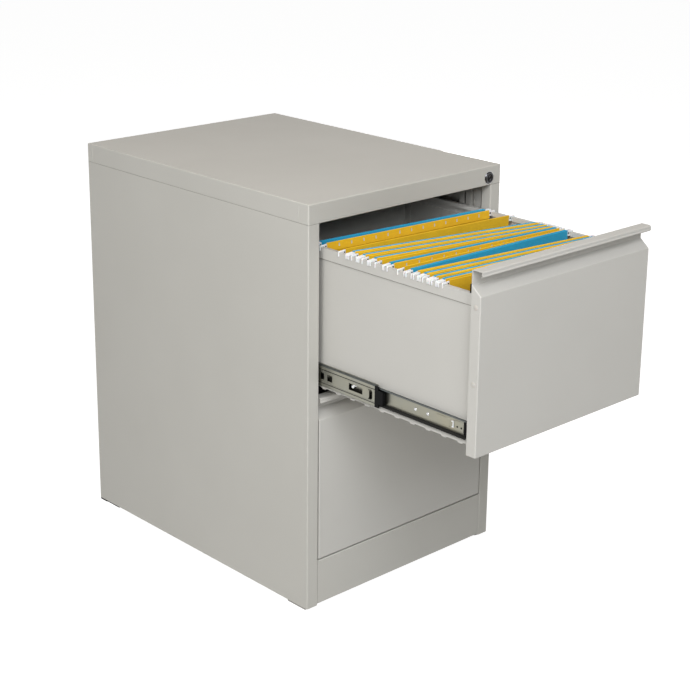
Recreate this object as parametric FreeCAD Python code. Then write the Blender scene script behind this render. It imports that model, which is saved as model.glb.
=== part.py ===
import FreeCAD, Part
import math
import os

# Two-drawer steel filing cabinet for hanging files. A folded shell of two side panels, a back and
# a cap stands on a base ring with four feet. Each drawer runs on a pair of three-member ball
# slides, and a lock in the cap works a vertical bar behind the right stile.
# The upper drawer is pulled out to the rest pose and carries a row of hanging files.
# Origin: centre of the base ring's underside. X to the right, Y to the back, Z up. Millimetres.

os.makedirs("parts", exist_ok=True)
Vector = FreeCAD.Vector

# Overall size, from the lower edge of the side panels to the top
cabinet_width = 460.0
cabinet_depth = 620.0
cabinet_height = 720.0

# Sheet steel and its bends
sheet = 1.0
inside_bend = 1.0
outside_bend = inside_bend + sheet
heavy_sheet = 1.2
sharp_bend = 0.0
assembly_gap = 0.1
seam_bevel = 0.8
running_gap = 0.3

# Shell
cap_height = 34.5
cap_return = 12.0
stile_width = 24.5
stile_return = 22.0
stile_lip = 9.0
rear_flange = 20.0
top_flange = 14.0
kick_height = 82.5
kick_lift = 2.0
kick_gap = 0.5
kick_return = 18.0
ring_leg = 34.0
ring_rise = 30.0
foot_length = 30.0
foot_width = 24.0
foot_drop = 4.0
foot_inset = 4.0
foot_collar = 1.0
foot_collar_height = 2.0

# Uprights that carry the slides
upright_crown = 28.0
upright_foot = 12.0
front_upright_start = 47.0
rear_upright_gap = 160.0
upright_slot_width = 3.0
upright_slot_height = 22.0
upright_slot_pitch = 58.0

# Drawers
cap_gap = 2.0
drawer_gap = 2.5
drawer_side_gap = 2.0
upper_drawer_pull = 350.0
drawer_rear_gap = 70.0
grip_gap = 4.0
bevel_rise = 15.0
bevel_depth = 18.0
grip_web_height = 23.0
grip_nose_reach = 1.5
grip_nose_height = 7.7
grip_nose_kick = 0.9
grip_hem = 2.8
grip_end_round = 4.4
inner_front_start = 13.0
side_foot_height = 12.5
side_top_drop = 1.5
side_bead_height = 19.0
side_bead_bulge = 1.8
side_bead_step = 0.5
side_bead_width = 7.3
side_bead_lip = 7.0
side_bottom_flange = 14.0
side_front_flange = 12.0
bottom_rib_count = 3
bottom_rib_width = 26.0
bottom_rib_rise = 3.0
back_flange = 15.0
bead_cap_length = 10.0
bead_cap_height = 18.0
bead_cap_width = 4.5
bead_cap_rise = 14.0

# Three-member ball slides, measured from the carrier towards the drawer and from the slide's axis
slide_axis_height = 38.0
slide_thickness = 12.7
slide_gauge = 1.2
ball_radius = 1.6
race_clearance = 0.05
cabinet_member_height = 45.4
cabinet_member_reach = 7.4
cabinet_member_lip = 1.8
middle_web_start = 2.6
middle_member_reach = 11.0
middle_member_lip = 1.8
drawer_member_reach = 6.2
drawer_member_lip = 1.6
cabinet_member_start = 24.5
middle_member_start = 45.0
drawer_member_start = 24.5
slide_end_gap = 0.5
middle_end_gap = 5.0
member_hole_places = (86.0, 113.0)
member_hole_radius = 2.3
cage_gauge = 0.6
outer_cage_web = 1.6
outer_cage_reach = 6.0
inner_cage_web = 4.1
inner_cage_reach = 9.5
inner_cage_lift = 0.6
outer_cage_start = 160.0
outer_cage_length = 250.0
inner_cage_start = 180.0
inner_cage_length = 235.0
cage_pocket_pitch = 45.0
bumper_plate_length = 8.0
bumper_nose_length = 18.0
bumper_plate_reach = 4.8
bumper_nose_reach = 10.6
bumper_nose_height = 23.0
middle_ratio = 0.5
outer_cage_ratio = 0.25
inner_cage_ratio = 0.75

# Lock
lock_inset = 30.7
lock_drop = 21.0
lock_bezel_radius = 11.6
lock_bezel_proud = 3.0
lock_barrel_radius = 9.5
lock_barrel_length = 22.5
lock_plug_radius = 6.5
lock_plug_clearance = 0.05
lock_tail_half = 2.5
keyway_width = 1.6
keyway_height = 8.0
keyway_depth = 12.0
clip_gauge = 1.4
crank_radius = 6.0
crank_disc_radius = 8.6
crank_disc_thickness = 2.0
crank_pin_radius = 2.0
crank_pin_length = 4.4
crank_rest_angle = 45.0
pin_slot_clearance = 0.35
bar_gauge = 1.5
bar_width = 16.0
bar_setback = 26.0
bar_side_gap = 4.0
bar_foot_height = 60.0
yoke_height = 13.0
yoke_margin = 1.3
hook_height = 12.0
hook_thickness = 2.5
hook_setback = 6.0
hook_clearance = 3.0
catch_back = 38.0
catch_height = 12.0
catch_drop = 32.0
catch_plate_length = 20.0
catch_reach = 10.5
guide_level = 113.0
guide_length = 25.0
guide_wall = 1.6

# Hanging files: each is one folded card on two rails. Places are behind the drawer's front face,
# as (back rail left, back rail right, front rail left, front rail right), from the rear forwards.
card_side_gap = 11.8
card_thickness = 0.6
card_foot_gap = 6.0
card_rise = 4.5
rail_thickness = 0.8
rail_height = 9.0
rail_drop = 1.2
hook_plate_thickness = 2.2
hook_wall = 2.4
hook_leg = 5.0
blue_file_places = (
    (378.0, 345.0, 372.0, 339.0),
    (299.0, 226.0, 294.2, 221.2),
    (275.0, 208.0, 270.2, 203.2),
    (249.0, 194.0, 244.2, 189.2),
    (215.0, 181.0, 210.2, 176.2),
    (139.0, 102.0, 134.2, 97.2),
    (118.5, 86.5, 113.7, 81.7),
    (100.0, 71.0, 95.2, 66.2),
)
yellow_file_places = (
    (293.2, 220.2, 284.0, 213.5),
    (269.2, 202.2, 259.5, 197.0),
    (243.2, 188.2, 230.0, 183.0),
    (205.0, 172.0, 180.0, 159.0),
    (152.5, 110.5, 145.5, 105.5),
    (133.2, 96.2, 125.5, 90.5),
    (112.7, 80.7, 106.5, 75.5),
    (94.2, 65.2, 84.0, 57.5),
)
open_yellow_place = (361.0, 332.0, 314.0, 283.0)
open_blue_place = (168.0, 158.5, 161.5, 152.0)

# Derived places
half_width = cabinet_width / 2
front_y = -cabinet_depth / 2
back_y = cabinet_depth / 2
cap_underside = cabinet_height - cap_height
carrier_x = half_width - stile_width
front_half_width = carrier_x - drawer_side_gap
drawer_half_width = carrier_x - slide_thickness
drawer_depth = cabinet_depth - drawer_rear_gap
slide_end = drawer_depth - slide_end_gap
cabinet_member_length = slide_end - cabinet_member_start
middle_member_length = drawer_depth - middle_end_gap - middle_member_start
drawer_member_length = slide_end - drawer_member_start
rear_upright_start = cabinet_depth - rear_upright_gap
kick_top = kick_lift + kick_height
drawer_pitch = (cap_underside - kick_top - cap_gap) / 2
front_flat_height = drawer_pitch - grip_gap - sheet - grip_web_height - bevel_rise
lower_drawer_base = kick_top + drawer_gap
upper_drawer_base = lower_drawer_base + drawer_pitch
web_back = bevel_depth + sheet
body_front = web_back + sheet
bevel_top = front_flat_height + bevel_rise
side_top = front_flat_height - side_top_drop
catch_level = side_top - side_bead_height - catch_drop
bottom_level = side_foot_height + sheet
card_half_width = drawer_half_width - card_side_gap
card_foot = bottom_level + bottom_rib_rise + sheet + card_foot_gap
card_height = side_top + card_rise - card_foot
lock_x = half_width - lock_inset
bar_inner_x = carrier_x + bar_side_gap
lock_z = cabinet_height - lock_drop
pin_offset = crank_radius * math.cos(math.radians(crank_rest_angle))
bar_travel = 2 * crank_radius * math.sin(math.radians(crank_rest_angle))
race_gap = 2 * (ball_radius + race_clearance)
cabinet_member_half = cabinet_member_height / 2
middle_member_half = cabinet_member_half - slide_gauge - race_gap
drawer_member_half = middle_member_half - slide_gauge - race_gap
outer_ball_level = middle_member_half + race_gap / 2
inner_ball_level = drawer_member_half + race_gap / 2


def placed(axis, offset, a, b):
    """Point (a, b) of a section that is extruded along an axis, at an offset on that axis."""
    if axis == "x":
        return Vector(offset, a, b)
    if axis == "y":
        return Vector(a, offset, b)
    return Vector(a, b, offset)


def outline(corners, axis, offset):
    """Closed wire through (a, b, radius) corners, with an arc at every corner that has a radius."""
    turns = []
    for index, (a, b, radius) in enumerate(corners):
        here = placed(axis, offset, a, b)
        if radius <= 0:
            turns.append((here, None, here))
            continue
        before = corners[index - 1]
        after = corners[(index + 1) % len(corners)]
        back = (placed(axis, offset, before[0], before[1]) - here).normalize()
        ahead = (placed(axis, offset, after[0], after[1]) - here).normalize()
        half_angle = back.getAngle(ahead) / 2
        reach = radius / math.tan(half_angle)
        inward = (back + ahead).normalize()
        middle = here + inward * (radius / math.sin(half_angle) - radius)
        turns.append((here + back * reach, middle, here + ahead * reach))
    edges = []
    for index, (start, middle, end) in enumerate(turns):
        if middle is not None:
            edges.append(Part.Arc(start, middle, end).toShape())
        following = turns[(index + 1) % len(turns)][0]
        if end.distanceToPoint(following) > 1e-6:
            edges.append(Part.makeLine(end, following))
    return Part.Wire(edges)


def prism(corners, axis, start, end):
    """Solid of one section, extruded along an axis from start to end."""
    face = Part.Face(outline(corners, axis, start))
    solid = face.extrude(placed(axis, end - start, 0, 0))
    if solid.Volume < 0:
        solid.reverse()
    return solid


def block(x_range, y_range, z_range):
    """Plain block between the given limits."""
    low = Vector(min(x_range), min(y_range), min(z_range))
    high = Vector(max(x_range), max(y_range), max(z_range))
    size = high - low
    return Part.makeBox(size.x, size.y, size.z, low)


def folded(path, gauge=sheet, bend=inside_bend):
    """Section corners of a sheet folded along an open path; the sheet lies to the path's right."""
    normals = []
    for start, end in zip(path, path[1:]):
        length = math.hypot(end[0] - start[0], end[1] - start[1])
        normals.append(((end[1] - start[1]) / length, (start[0] - end[0]) / length))
    near_side = []
    far_side = []
    for index, (a, b) in enumerate(path):
        if index in (0, len(path) - 1):
            normal = normals[0] if index == 0 else normals[-1]
            near_side.append((a, b, 0))
            far_side.append((a + gauge * normal[0], b + gauge * normal[1], 0))
            continue
        first = normals[index - 1]
        second = normals[index]
        share = gauge / (1 + first[0] * second[0] + first[1] * second[1])
        turns_right = first[0] * second[1] - first[1] * second[0] < 0
        outer_radius = bend + gauge if bend else 0
        near_radius, far_radius = (outer_radius, bend) if turns_right else (bend, outer_radius)
        near_side.append((a, b, near_radius))
        far_side.append((a + share * (first[0] + second[0]), b + share * (first[1] + second[1]), far_radius))
    return near_side + far_side[::-1]


def fused(shapes):
    """One solid from pieces that touch or overlap."""
    return shapes[0].fuse(list(shapes[1:])).removeSplitter()


def near(value, target, tolerance=0.01):
    return abs(value - target) < tolerance


def rounded(shape, radius, chosen):
    """The shape with a fillet on each straight edge for which chosen(middle, direction) is true."""
    edges = []
    for edge in shape.Edges:
        if edge.Degenerated or edge.Curve.TypeId != "Part::GeomLine":
            continue
        middle = edge.valueAt((edge.FirstParameter + edge.LastParameter) / 2)
        direction = edge.tangentAt(edge.FirstParameter)
        if chosen(middle, direction):
            edges.append(edge)
    return shape.makeFillet(radius, edges)


def rod(radius, length, start, direction=Vector(0, 1, 0)):
    """Round bar from a start point."""
    return Part.makeCylinder(radius, length, start, direction)


def moved(shape, offset):
    copy = shape.copy()
    copy.translate(offset)
    return copy


def mirrored(shape):
    """The same piece on the other side of the cabinet."""
    return shape.mirror(Vector(0, 0, 0), Vector(1, 0, 0))


def save(name, shape):
    """Writes one piece, or a group of like pieces, under its node name."""
    if not shape.isValid():
        print("not valid:", name)
    shape.exportStep("parts/" + name + ".step")


def save_pair(name, left_shape):
    """Writes a left piece and its mirror image."""
    save(name + "_left", left_shape)
    save(name + "_right", mirrored(left_shape))


# Shell

def bevelled(shell, level):
    """Shell with its outer edges at the level taken off, as where two bent sheets meet."""
    tools = []
    for side in (-1, 1):
        edge = side * half_width
        tools.append(prism([
            (edge, level - seam_bevel, 0),
            (edge - side * seam_bevel, level, 0),
            (edge, level + seam_bevel, 0),
            (edge + side * seam_bevel, level, 0),
        ], "y", front_y - sheet, back_y + sheet))
    for face in (front_y, back_y):
        inward = 1 if face < 0 else -1
        tools.append(prism([
            (face, level - seam_bevel, 0),
            (face + inward * seam_bevel, level, 0),
            (face, level + seam_bevel, 0),
            (face - inward * seam_bevel, level, 0),
        ], "x", -half_width - sheet, half_width + sheet))
    for tool in tools:
        shell = shell.cut(tool)
    return shell


def side_panel():
    """Left side with its rear flange, stile, stile return and the flange under the cap."""
    section = folded([
        (-carrier_x - stile_lip, front_y + stile_return),
        (-carrier_x, front_y + stile_return),
        (-carrier_x, front_y),
        (-half_width, front_y),
        (-half_width, back_y),
        (-half_width + rear_flange, back_y),
    ])
    wall = prism(section, "z", 0, cap_underside)
    flange = block(
        (-half_width + sheet / 2, -half_width + top_flange),
        (front_y + sheet / 2, back_y - 2 * sheet - assembly_gap),
        (cap_underside - sheet, cap_underside),
    )
    return bevelled(fused([wall, flange]), cap_underside)


def top_cap():
    """Cap tray with a fascia all round, an inward return below it and the lock's hole."""
    outer = block((-half_width, half_width), (front_y, back_y), (cap_underside, cabinet_height))
    outer = rounded(outer, outside_bend, lambda middle, direction: (
        near(abs(direction.z), 1) or near(middle.z, cabinet_height)
    ))
    inner = block(
        (-half_width + sheet, half_width - sheet),
        (front_y + sheet, back_y - sheet),
        (cap_underside + sheet, cabinet_height - sheet),
    )
    mouth = block(
        (-half_width + cap_return, half_width - cap_return),
        (front_y + cap_return, back_y - cap_return),
        (cap_underside - sheet, cap_underside + 2 * sheet),
    )
    cap = bevelled(outer.cut(inner).cut(mouth), cap_underside)
    hole_start = Vector(lock_x, front_y - sheet, lock_z)
    return cap.cut(rod(lock_barrel_radius + assembly_gap, 4 * sheet, hole_start))


def back_panel():
    """Flat back inside the side panels' rear flanges, with a flange under the cap."""
    outer_face = back_y - sheet
    reach = half_width - outside_bend
    plate = block((-reach, reach), (outer_face - sheet, outer_face), (sheet, cap_underside))
    flange_reach = half_width - top_flange - assembly_gap
    flange = block(
        (-flange_reach, flange_reach),
        (outer_face - top_flange, outer_face),
        (cap_underside - sheet, cap_underside),
    )
    return fused([plate, flange])


def base_ring():
    """Ring under the shell: a flat frame with its outer edge turned up inside the panels."""
    reach = half_width - sheet - assembly_gap
    front = front_y + stile_return + assembly_gap
    rear = back_y - 2 * sheet - assembly_gap
    ring = block((-reach, reach), (front, rear), (0, ring_rise))
    pan = block(
        (-reach + heavy_sheet, reach - heavy_sheet),
        (front + heavy_sheet, rear - heavy_sheet),
        (heavy_sheet, ring_rise + sheet),
    )
    opening = block(
        (-reach + ring_leg, reach - ring_leg),
        (front + ring_leg, rear - ring_leg),
        (-sheet, ring_rise),
    )
    ring = ring.cut(pan).cut(opening)
    for x, y in foot_places():
        ring = ring.cut(foot_block(x, y, assembly_gap, -sheet, ring_rise / 2))
    return ring


def foot_places():
    """Centres of the four feet, under the ring's corners."""
    x = half_width - foot_inset - foot_width / 2
    front = front_y + stile_return + foot_inset + foot_length / 2
    rear = back_y - 2 * foot_inset - foot_length / 2
    return [(side * x, y) for side in (-1, 1) for y in (front, rear)]


def foot_block(x, y, margin, low, high):
    """Block with a foot's outline and a margin all round it."""
    return block(
        (x - foot_width / 2 - margin, x + foot_width / 2 + margin),
        (y - foot_length / 2 - margin, y + foot_length / 2 + margin),
        (low, high),
    )


def levelling_feet():
    """Four moulded glides, pressed through the ring as far as their collars."""
    feet = []
    for x, y in foot_places():
        pad = foot_block(x, y, 0, -foot_drop, heavy_sheet + foot_collar_height)
        pad = pad.makeChamfer(sheet, [edge for edge in pad.Edges if near(edge.CenterOfMass.z, -foot_drop)])
        collar_start = heavy_sheet + assembly_gap
        collar = foot_block(x, y, foot_collar, collar_start, heavy_sheet + foot_collar_height)
        feet.append(fused([pad, collar]))
    return Part.makeCompound(feet)


def kick_plate():
    """Plinth between the stiles, folded back at the top, the foot and both ends."""
    setback = front_y + kick_gap
    section = folded([
        (setback + kick_return, kick_lift),
        (setback, kick_lift),
        (setback, kick_top),
        (setback + kick_return, kick_top),
    ])
    plate = prism(section, "x", -carrier_x, carrier_x)
    ends = [
        block(
            (side * carrier_x, side * (carrier_x - sheet)),
            (setback + outside_bend, setback + kick_return),
            (kick_lift + sheet / 2, kick_top - sheet / 2),
        )
        for side in (-1, 1)
    ]
    return fused([plate] + ends)


def upright(start):
    """Left slotted post on the side wall; its crown carries the slides."""
    wall_x = -half_width + 2 * sheet
    section = folded([
        (wall_x, front_y + start + upright_crown + upright_foot),
        (wall_x, front_y + start + upright_crown),
        (-carrier_x, front_y + start + upright_crown),
        (-carrier_x, front_y + start),
        (wall_x - sheet, front_y + start),
    ], bend=sharp_bend)
    top = cap_underside - sheet - assembly_gap
    post = prism(section, "z", ring_rise + assembly_gap, top)
    middle_y = front_y + start + upright_crown / 2
    level = ring_rise + upright_slot_pitch / 2
    while level + upright_slot_height < top:
        post = post.cut(block(
            (-carrier_x - 2 * sheet, -carrier_x + sheet),
            (middle_y - upright_slot_width / 2, middle_y + upright_slot_width / 2),
            (level, level + upright_slot_height),
        ))
        level += upright_slot_pitch
    return post


# Ball slides. Sections hold the distance from the carrier and the height over the slide's axis.

def slide_section(path, gauge=slide_gauge):
    """Left slide section in the cabinet's own X, about the axis at height zero."""
    return folded([(-carrier_x + across, level) for across, level in path], gauge, sharp_bend)


def slide_windows(member, windows, start, depth_range):
    """Cuts (distance behind the member's front end, length, height) windows in a member's web."""
    for distance, length, height in windows:
        member = member.cut(block(
            (-carrier_x + depth_range[0], -carrier_x + depth_range[1]),
            (start + distance - length / 2, start + distance + length / 2),
            (-height / 2, height / 2),
        ))
    return member


def cabinet_member():
    """Outer channel of the slide, fixed to the uprights."""
    reach, half, lip = cabinet_member_reach, cabinet_member_half, cabinet_member_lip
    section = slide_section([
        (reach, -half + lip), (reach, -half), (0, -half), (0, half), (reach, half), (reach, half - lip),
    ])
    start = front_y + cabinet_member_start
    member = prism(section, "y", start, start + cabinet_member_length)
    windows = [(60.0, 12.0, 8.0), (260.0, 30.0, 8.0), (470.0, 12.0, 8.0)]
    return slide_windows(member, windows, start, (-sheet, slide_gauge + sheet))


def middle_member():
    """Middle channel, with the stop slots of the photographed side."""
    web, reach, half, lip = middle_web_start, middle_member_reach, middle_member_half, middle_member_lip
    section = slide_section([
        (reach, -half + lip), (reach, -half), (web, -half), (web, half), (reach, half), (reach, half - lip),
    ])
    start = front_y + middle_member_start
    member = prism(section, "y", start, start + middle_member_length)
    windows = [(13.0, 3.0, 15.0), (45.0, 32.0, 9.0), (107.0, 12.0, 10.0), (125.0, 9.0, 10.0)]
    return slide_windows(member, windows, start, (web - sheet, web + slide_gauge + sheet))


def drawer_member():
    """Inner channel, fixed to the drawer side."""
    reach, back, half, lip = drawer_member_reach, slide_thickness, drawer_member_half, drawer_member_lip
    section = slide_section([
        (reach, half + lip), (reach, half), (back, half), (back, -half), (reach, -half), (reach, -half - lip),
    ])
    start = front_y + drawer_member_start
    member = prism(section, "y", start, start + drawer_member_length)
    web = (back - slide_gauge - sheet, back + sheet)
    for distance in member_hole_places:
        hole = rod(member_hole_radius, web[1] - web[0], Vector(-carrier_x + web[0], start + distance, 0), Vector(1, 0, 0))
        member = member.cut(hole)
    return member


def ball_cage(web, reach, half, start, length, ball_across, ball_level):
    """Channel between two members that spaces their balls, with a pocket for each ball."""
    section = slide_section([(reach, -half), (web, -half), (web, half), (reach, half)], cage_gauge)
    cage = prism(section, "y", front_y + start, front_y + start + length)
    pockets = int(length // cage_pocket_pitch)
    first = (length - (pockets - 1) * cage_pocket_pitch) / 2
    for index in range(pockets):
        y = front_y + start + first + index * cage_pocket_pitch
        pocket = block(
            (-carrier_x + ball_across - ball_radius, -carrier_x + ball_across + ball_radius),
            (y - ball_radius, y + ball_radius),
            (-half - sheet, half + sheet),
        )
        cage = cage.cut(pocket)
    return cage


def outer_cage():
    """Cage between the cabinet member and the middle member."""
    half = outer_ball_level + cage_gauge / 2
    across = (middle_web_start + cabinet_member_reach - slide_gauge) / 2
    return ball_cage(
        outer_cage_web, outer_cage_reach, half, outer_cage_start, outer_cage_length, across, outer_ball_level
    )


def inner_cage():
    """Cage between the middle member and the drawer member, clear of the drawer member's lips."""
    half = inner_ball_level + inner_cage_lift + cage_gauge / 2
    across = (drawer_member_reach + middle_member_reach - slide_gauge) / 2
    return ball_cage(
        inner_cage_web, inner_cage_reach, half, inner_cage_start, inner_cage_length, across, inner_ball_level
    )


def bumper():
    """Moulded end piece on the middle member's front end."""
    end = front_y + middle_member_start
    plate_half = middle_member_half - running_gap
    plate = block(
        (-carrier_x + middle_web_start, -carrier_x + bumper_plate_reach),
        (end - bumper_plate_length, end),
        (-plate_half, plate_half),
    )
    nose = block(
        (-carrier_x + middle_web_start, -carrier_x + bumper_nose_reach),
        (end - bumper_nose_length, end),
        (-bumper_nose_height / 2, bumper_nose_height / 2),
    )
    nose = nose.makeChamfer(sheet, [edge for edge in nose.Edges if near(edge.CenterOfMass.y, end - bumper_nose_length)])
    return fused([plate, nose])


# Drawer. Each piece is made closed, with its lower edge at height zero, and moved by its drawer.

def drawer_front():
    """Front pan with a bevelled top, and above it the web and the rolled grip."""
    reach = front_half_width
    flat, back = front_flat_height, web_back
    block_corners = [
        (front_y, 0, outside_bend),
        (front_y, flat, outside_bend),
        (front_y + bevel_depth, bevel_top, 0),
        (front_y + back, bevel_top, 0),
        (front_y + back, 0, 0),
    ]
    pan = prism(block_corners, "x", -reach, reach)
    pan = rounded(pan, outside_bend - sheet / 2, lambda middle, direction: (
        near(abs(middle.x), reach) and not near(middle.y, front_y + back)
        and not near(middle.z, bevel_top) and not near(middle.y, front_y + back)
    ))
    slope = bevel_rise / bevel_depth
    inner_corner = flat + sheet * slope - sheet * math.hypot(1, slope)
    hollow_back = back + sheet
    hollow = prism([
        (front_y + sheet, sheet, inside_bend),
        (front_y + sheet, inner_corner, inside_bend),
        (front_y + hollow_back, inner_corner + slope * (hollow_back - sheet), 0),
        (front_y + hollow_back, sheet, 0),
    ], "x", -reach + sheet, reach - sheet)
    pan = pan.cut(hollow)
    grip_level = bevel_top + grip_web_height
    nose = front_y - grip_nose_reach + sheet
    grip = prism(folded([
        (front_y + bevel_depth, bevel_top - sheet),
        (front_y + bevel_depth, grip_level),
        (nose, grip_level),
        (nose + grip_nose_kick / 3, grip_level - grip_nose_height * 0.54),
        (nose - grip_nose_kick + grip_nose_kick / 6, grip_level - grip_nose_height * 0.9),
        (nose - grip_nose_kick + grip_hem, grip_level - grip_nose_height),
    ]), "x", -reach, reach)
    nose_start, nose_end = front_y - 2 * bevel_depth, nose + sheet
    nose_top, nose_foot = grip_level + sheet, grip_level - grip_nose_height - sheet
    nose_room = block((-reach - sheet, reach + sheet), (nose_start, nose_end), (nose_foot, nose_top))
    nose_plate = prism([
        (-reach, nose_foot + sheet / 2, grip_end_round),
        (reach, nose_foot + sheet / 2, grip_end_round),
        (reach, nose_top, grip_end_round),
        (-reach, nose_top, grip_end_round),
    ], "y", nose_start, nose_end)
    return fused([pan, grip.cut(nose_room.cut(nose_plate))])


def drawer_inner_front():
    """Closing pan behind the front: its edges turn into the front, its top laps the web."""
    reach = front_half_width - sheet - assembly_gap
    top = front_flat_height - outside_bend
    depth = inner_front_start
    pan = block((-reach, reach), (front_y + depth, front_y + body_front), (sheet + assembly_gap, top))
    hollow = block(
        (-reach + sheet, reach - sheet),
        (front_y + depth - sheet, front_y + web_back),
        (2 * sheet + assembly_gap, top - sheet),
    )
    lap = block(
        (-reach, reach),
        (front_y + web_back, front_y + body_front),
        (top - outside_bend, bevel_top + grip_web_height / 2),
    )
    return fused([pan.cut(hollow), lap])


def drawer_side():
    """Left drawer side with its hanging rail rolled along the top and a flange along the foot."""
    wall = -drawer_half_width
    bulge = wall - side_bead_bulge
    bead_foot = side_top - side_bead_height
    section = folded([
        (wall + side_bottom_flange, side_foot_height),
        (wall, side_foot_height),
        (wall, bead_foot),
        (bulge, bead_foot + side_bead_step),
        (bulge, side_top),
        (bulge + side_bead_width, side_top),
        (bulge + side_bead_width, side_top - side_bead_lip),
    ], bend=sharp_bend)
    start = front_y + body_front
    end = front_y + drawer_depth
    pieces = [prism(section, "y", start, end)]
    pieces.append(block(
        (wall + sheet / 2, wall + side_front_flange),
        (start, start + sheet),
        (side_foot_height + outside_bend, bead_foot - outside_bend),
    ))
    return fused(pieces)


def drawer_bottom():
    """Bottom sheet with stiffening ribs, lying on the sides' lower flanges."""
    reach = drawer_half_width - outside_bend
    spacing = 2 * reach / bottom_rib_count
    path = [(reach, bottom_level)]
    for index in range(bottom_rib_count):
        centre = reach - spacing * (index + 0.5)
        path.append((centre + bottom_rib_width / 2 + bottom_rib_rise, bottom_level))
        path.append((centre + bottom_rib_width / 2, bottom_level + bottom_rib_rise))
        path.append((centre - bottom_rib_width / 2, bottom_level + bottom_rib_rise))
        path.append((centre - bottom_rib_width / 2 - bottom_rib_rise, bottom_level))
    path.append((-reach, bottom_level))
    start = front_y + body_front + sheet + assembly_gap
    end = front_y + drawer_depth - back_flange - assembly_gap
    return prism(folded(path, bend=sharp_bend), "y", start, end)


def drawer_back():
    """Back sheet with its sides turned forward inside the drawer sides."""
    reach = drawer_half_width - sheet - assembly_gap
    rear = front_y + drawer_depth
    top = side_top - side_bead_lip - assembly_gap
    section = folded([
        (-reach, rear - back_flange),
        (-reach, rear),
        (reach, rear),
        (reach, rear - back_flange),
    ], bend=sharp_bend)
    plate = prism(section, "z", bottom_level + inside_bend, top)
    rail = block((-reach + sheet / 2, reach - sheet / 2), (rear - back_flange, rear - sheet / 2), (top - sheet, top))
    return fused([plate, rail])


def corner_buffers():
    """Two moulded corners behind the inner front: each fills the rail's open end and caps it."""
    outer_x = drawer_half_width + side_bead_bulge
    inner_x = outer_x - side_bead_width - running_gap
    start = front_y + body_front
    plug = block(
        (inner_x - bead_cap_width, inner_x),
        (start, start + bead_cap_length),
        (side_top - bead_cap_height, side_top + assembly_gap + sheet),
    )
    cap = block(
        (inner_x - bead_cap_width, outer_x),
        (start, start + bead_cap_length),
        (side_top + assembly_gap, side_top + bead_cap_rise),
    )
    right = fused([plug, cap])
    return Part.makeCompound([mirrored(right), right])


def lock_catch():
    """Angle on the right drawer side that the lock bar's hook stops."""
    low = catch_level - catch_height
    section = folded([
        (drawer_half_width + catch_reach, front_y + catch_back),
        (drawer_half_width, front_y + catch_back),
        (drawer_half_width, front_y + catch_back + catch_plate_length),
    ], heavy_sheet, sharp_bend)
    return prism(section, "z", low, catch_level)


# Lock and its bar

def lock_housing():
    """Bezel and barrel with the bore for the plug."""
    bezel = rod(lock_bezel_radius, lock_bezel_proud, Vector(lock_x, front_y - lock_bezel_proud, lock_z))
    edges = [edge for edge in bezel.Edges if near(edge.CenterOfMass.y, front_y - lock_bezel_proud)]
    bezel = bezel.makeChamfer(lock_bezel_proud / 2, edges)
    barrel = rod(lock_barrel_radius, lock_barrel_length + sheet, Vector(lock_x, front_y - sheet, lock_z))
    bore_start = Vector(lock_x, front_y - 2 * lock_bezel_proud, lock_z)
    bore = rod(lock_plug_radius + lock_plug_clearance, lock_barrel_length + 4 * lock_bezel_proud, bore_start)
    return fused([bezel, barrel]).cut(bore)


def lock_clip():
    """Horseshoe clip that holds the barrel against the fascia's inner face."""
    half = lock_barrel_radius + 3 * sheet
    clip = block(
        (lock_x - half, lock_x + half),
        (front_y + sheet, front_y + sheet + clip_gauge),
        (lock_z - lock_barrel_radius, lock_z + half),
    )
    clip = rounded(clip, 3 * sheet, lambda middle, direction: (
        near(abs(direction.y), 1) and near(middle.z, lock_z + half)
    ))
    seat = lock_barrel_radius + assembly_gap
    clip = clip.cut(rod(seat, lock_barrel_length, Vector(lock_x, front_y, lock_z)))
    throat = block(
        (lock_x - seat, lock_x + seat),
        (front_y, front_y + lock_barrel_length),
        (lock_z - 2 * lock_barrel_radius, lock_z),
    )
    return clip.cut(throat)


def lock_plug():
    """Turning plug with its keyway and the square tail for the crank."""
    face_y = front_y - lock_bezel_proud + sheet / 2
    rear_y = front_y + lock_barrel_length
    plug = rod(lock_plug_radius, rear_y - face_y, Vector(lock_x, face_y, lock_z))
    tail = block(
        (lock_x - lock_tail_half, lock_x + lock_tail_half),
        (rear_y - sheet, rear_y + running_gap + crank_disc_thickness),
        (lock_z - lock_tail_half, lock_z + lock_tail_half),
    )
    keyway = block(
        (lock_x - keyway_width / 2, lock_x + keyway_width / 2),
        (face_y - sheet, face_y + keyway_depth),
        (lock_z - keyway_height / 2, lock_z + keyway_height / 2),
    )
    return fused([plug, tail]).cut(keyway)


def lock_crank():
    """Disc on the plug's tail with the pin that lifts the bar."""
    start_y = front_y + lock_barrel_length + running_gap
    disc = rod(crank_disc_radius, crank_disc_thickness, Vector(lock_x, start_y, lock_z))
    pin = rod(
        crank_pin_radius,
        crank_disc_thickness / 2 + crank_pin_length,
        Vector(lock_x + pin_offset, start_y + crank_disc_thickness / 2, lock_z + bar_travel / 2),
    )
    half = lock_tail_half + assembly_gap
    square = block(
        (lock_x - half, lock_x + half),
        (start_y - sheet, start_y + 2 * crank_disc_thickness),
        (lock_z - half, lock_z + half),
    )
    return fused([disc, pin]).cut(square)


def hook_foot(base):
    """Height of a bar hook's lower edge over a drawer's catch, with the bar up."""
    return base + catch_level + hook_clearance


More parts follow.
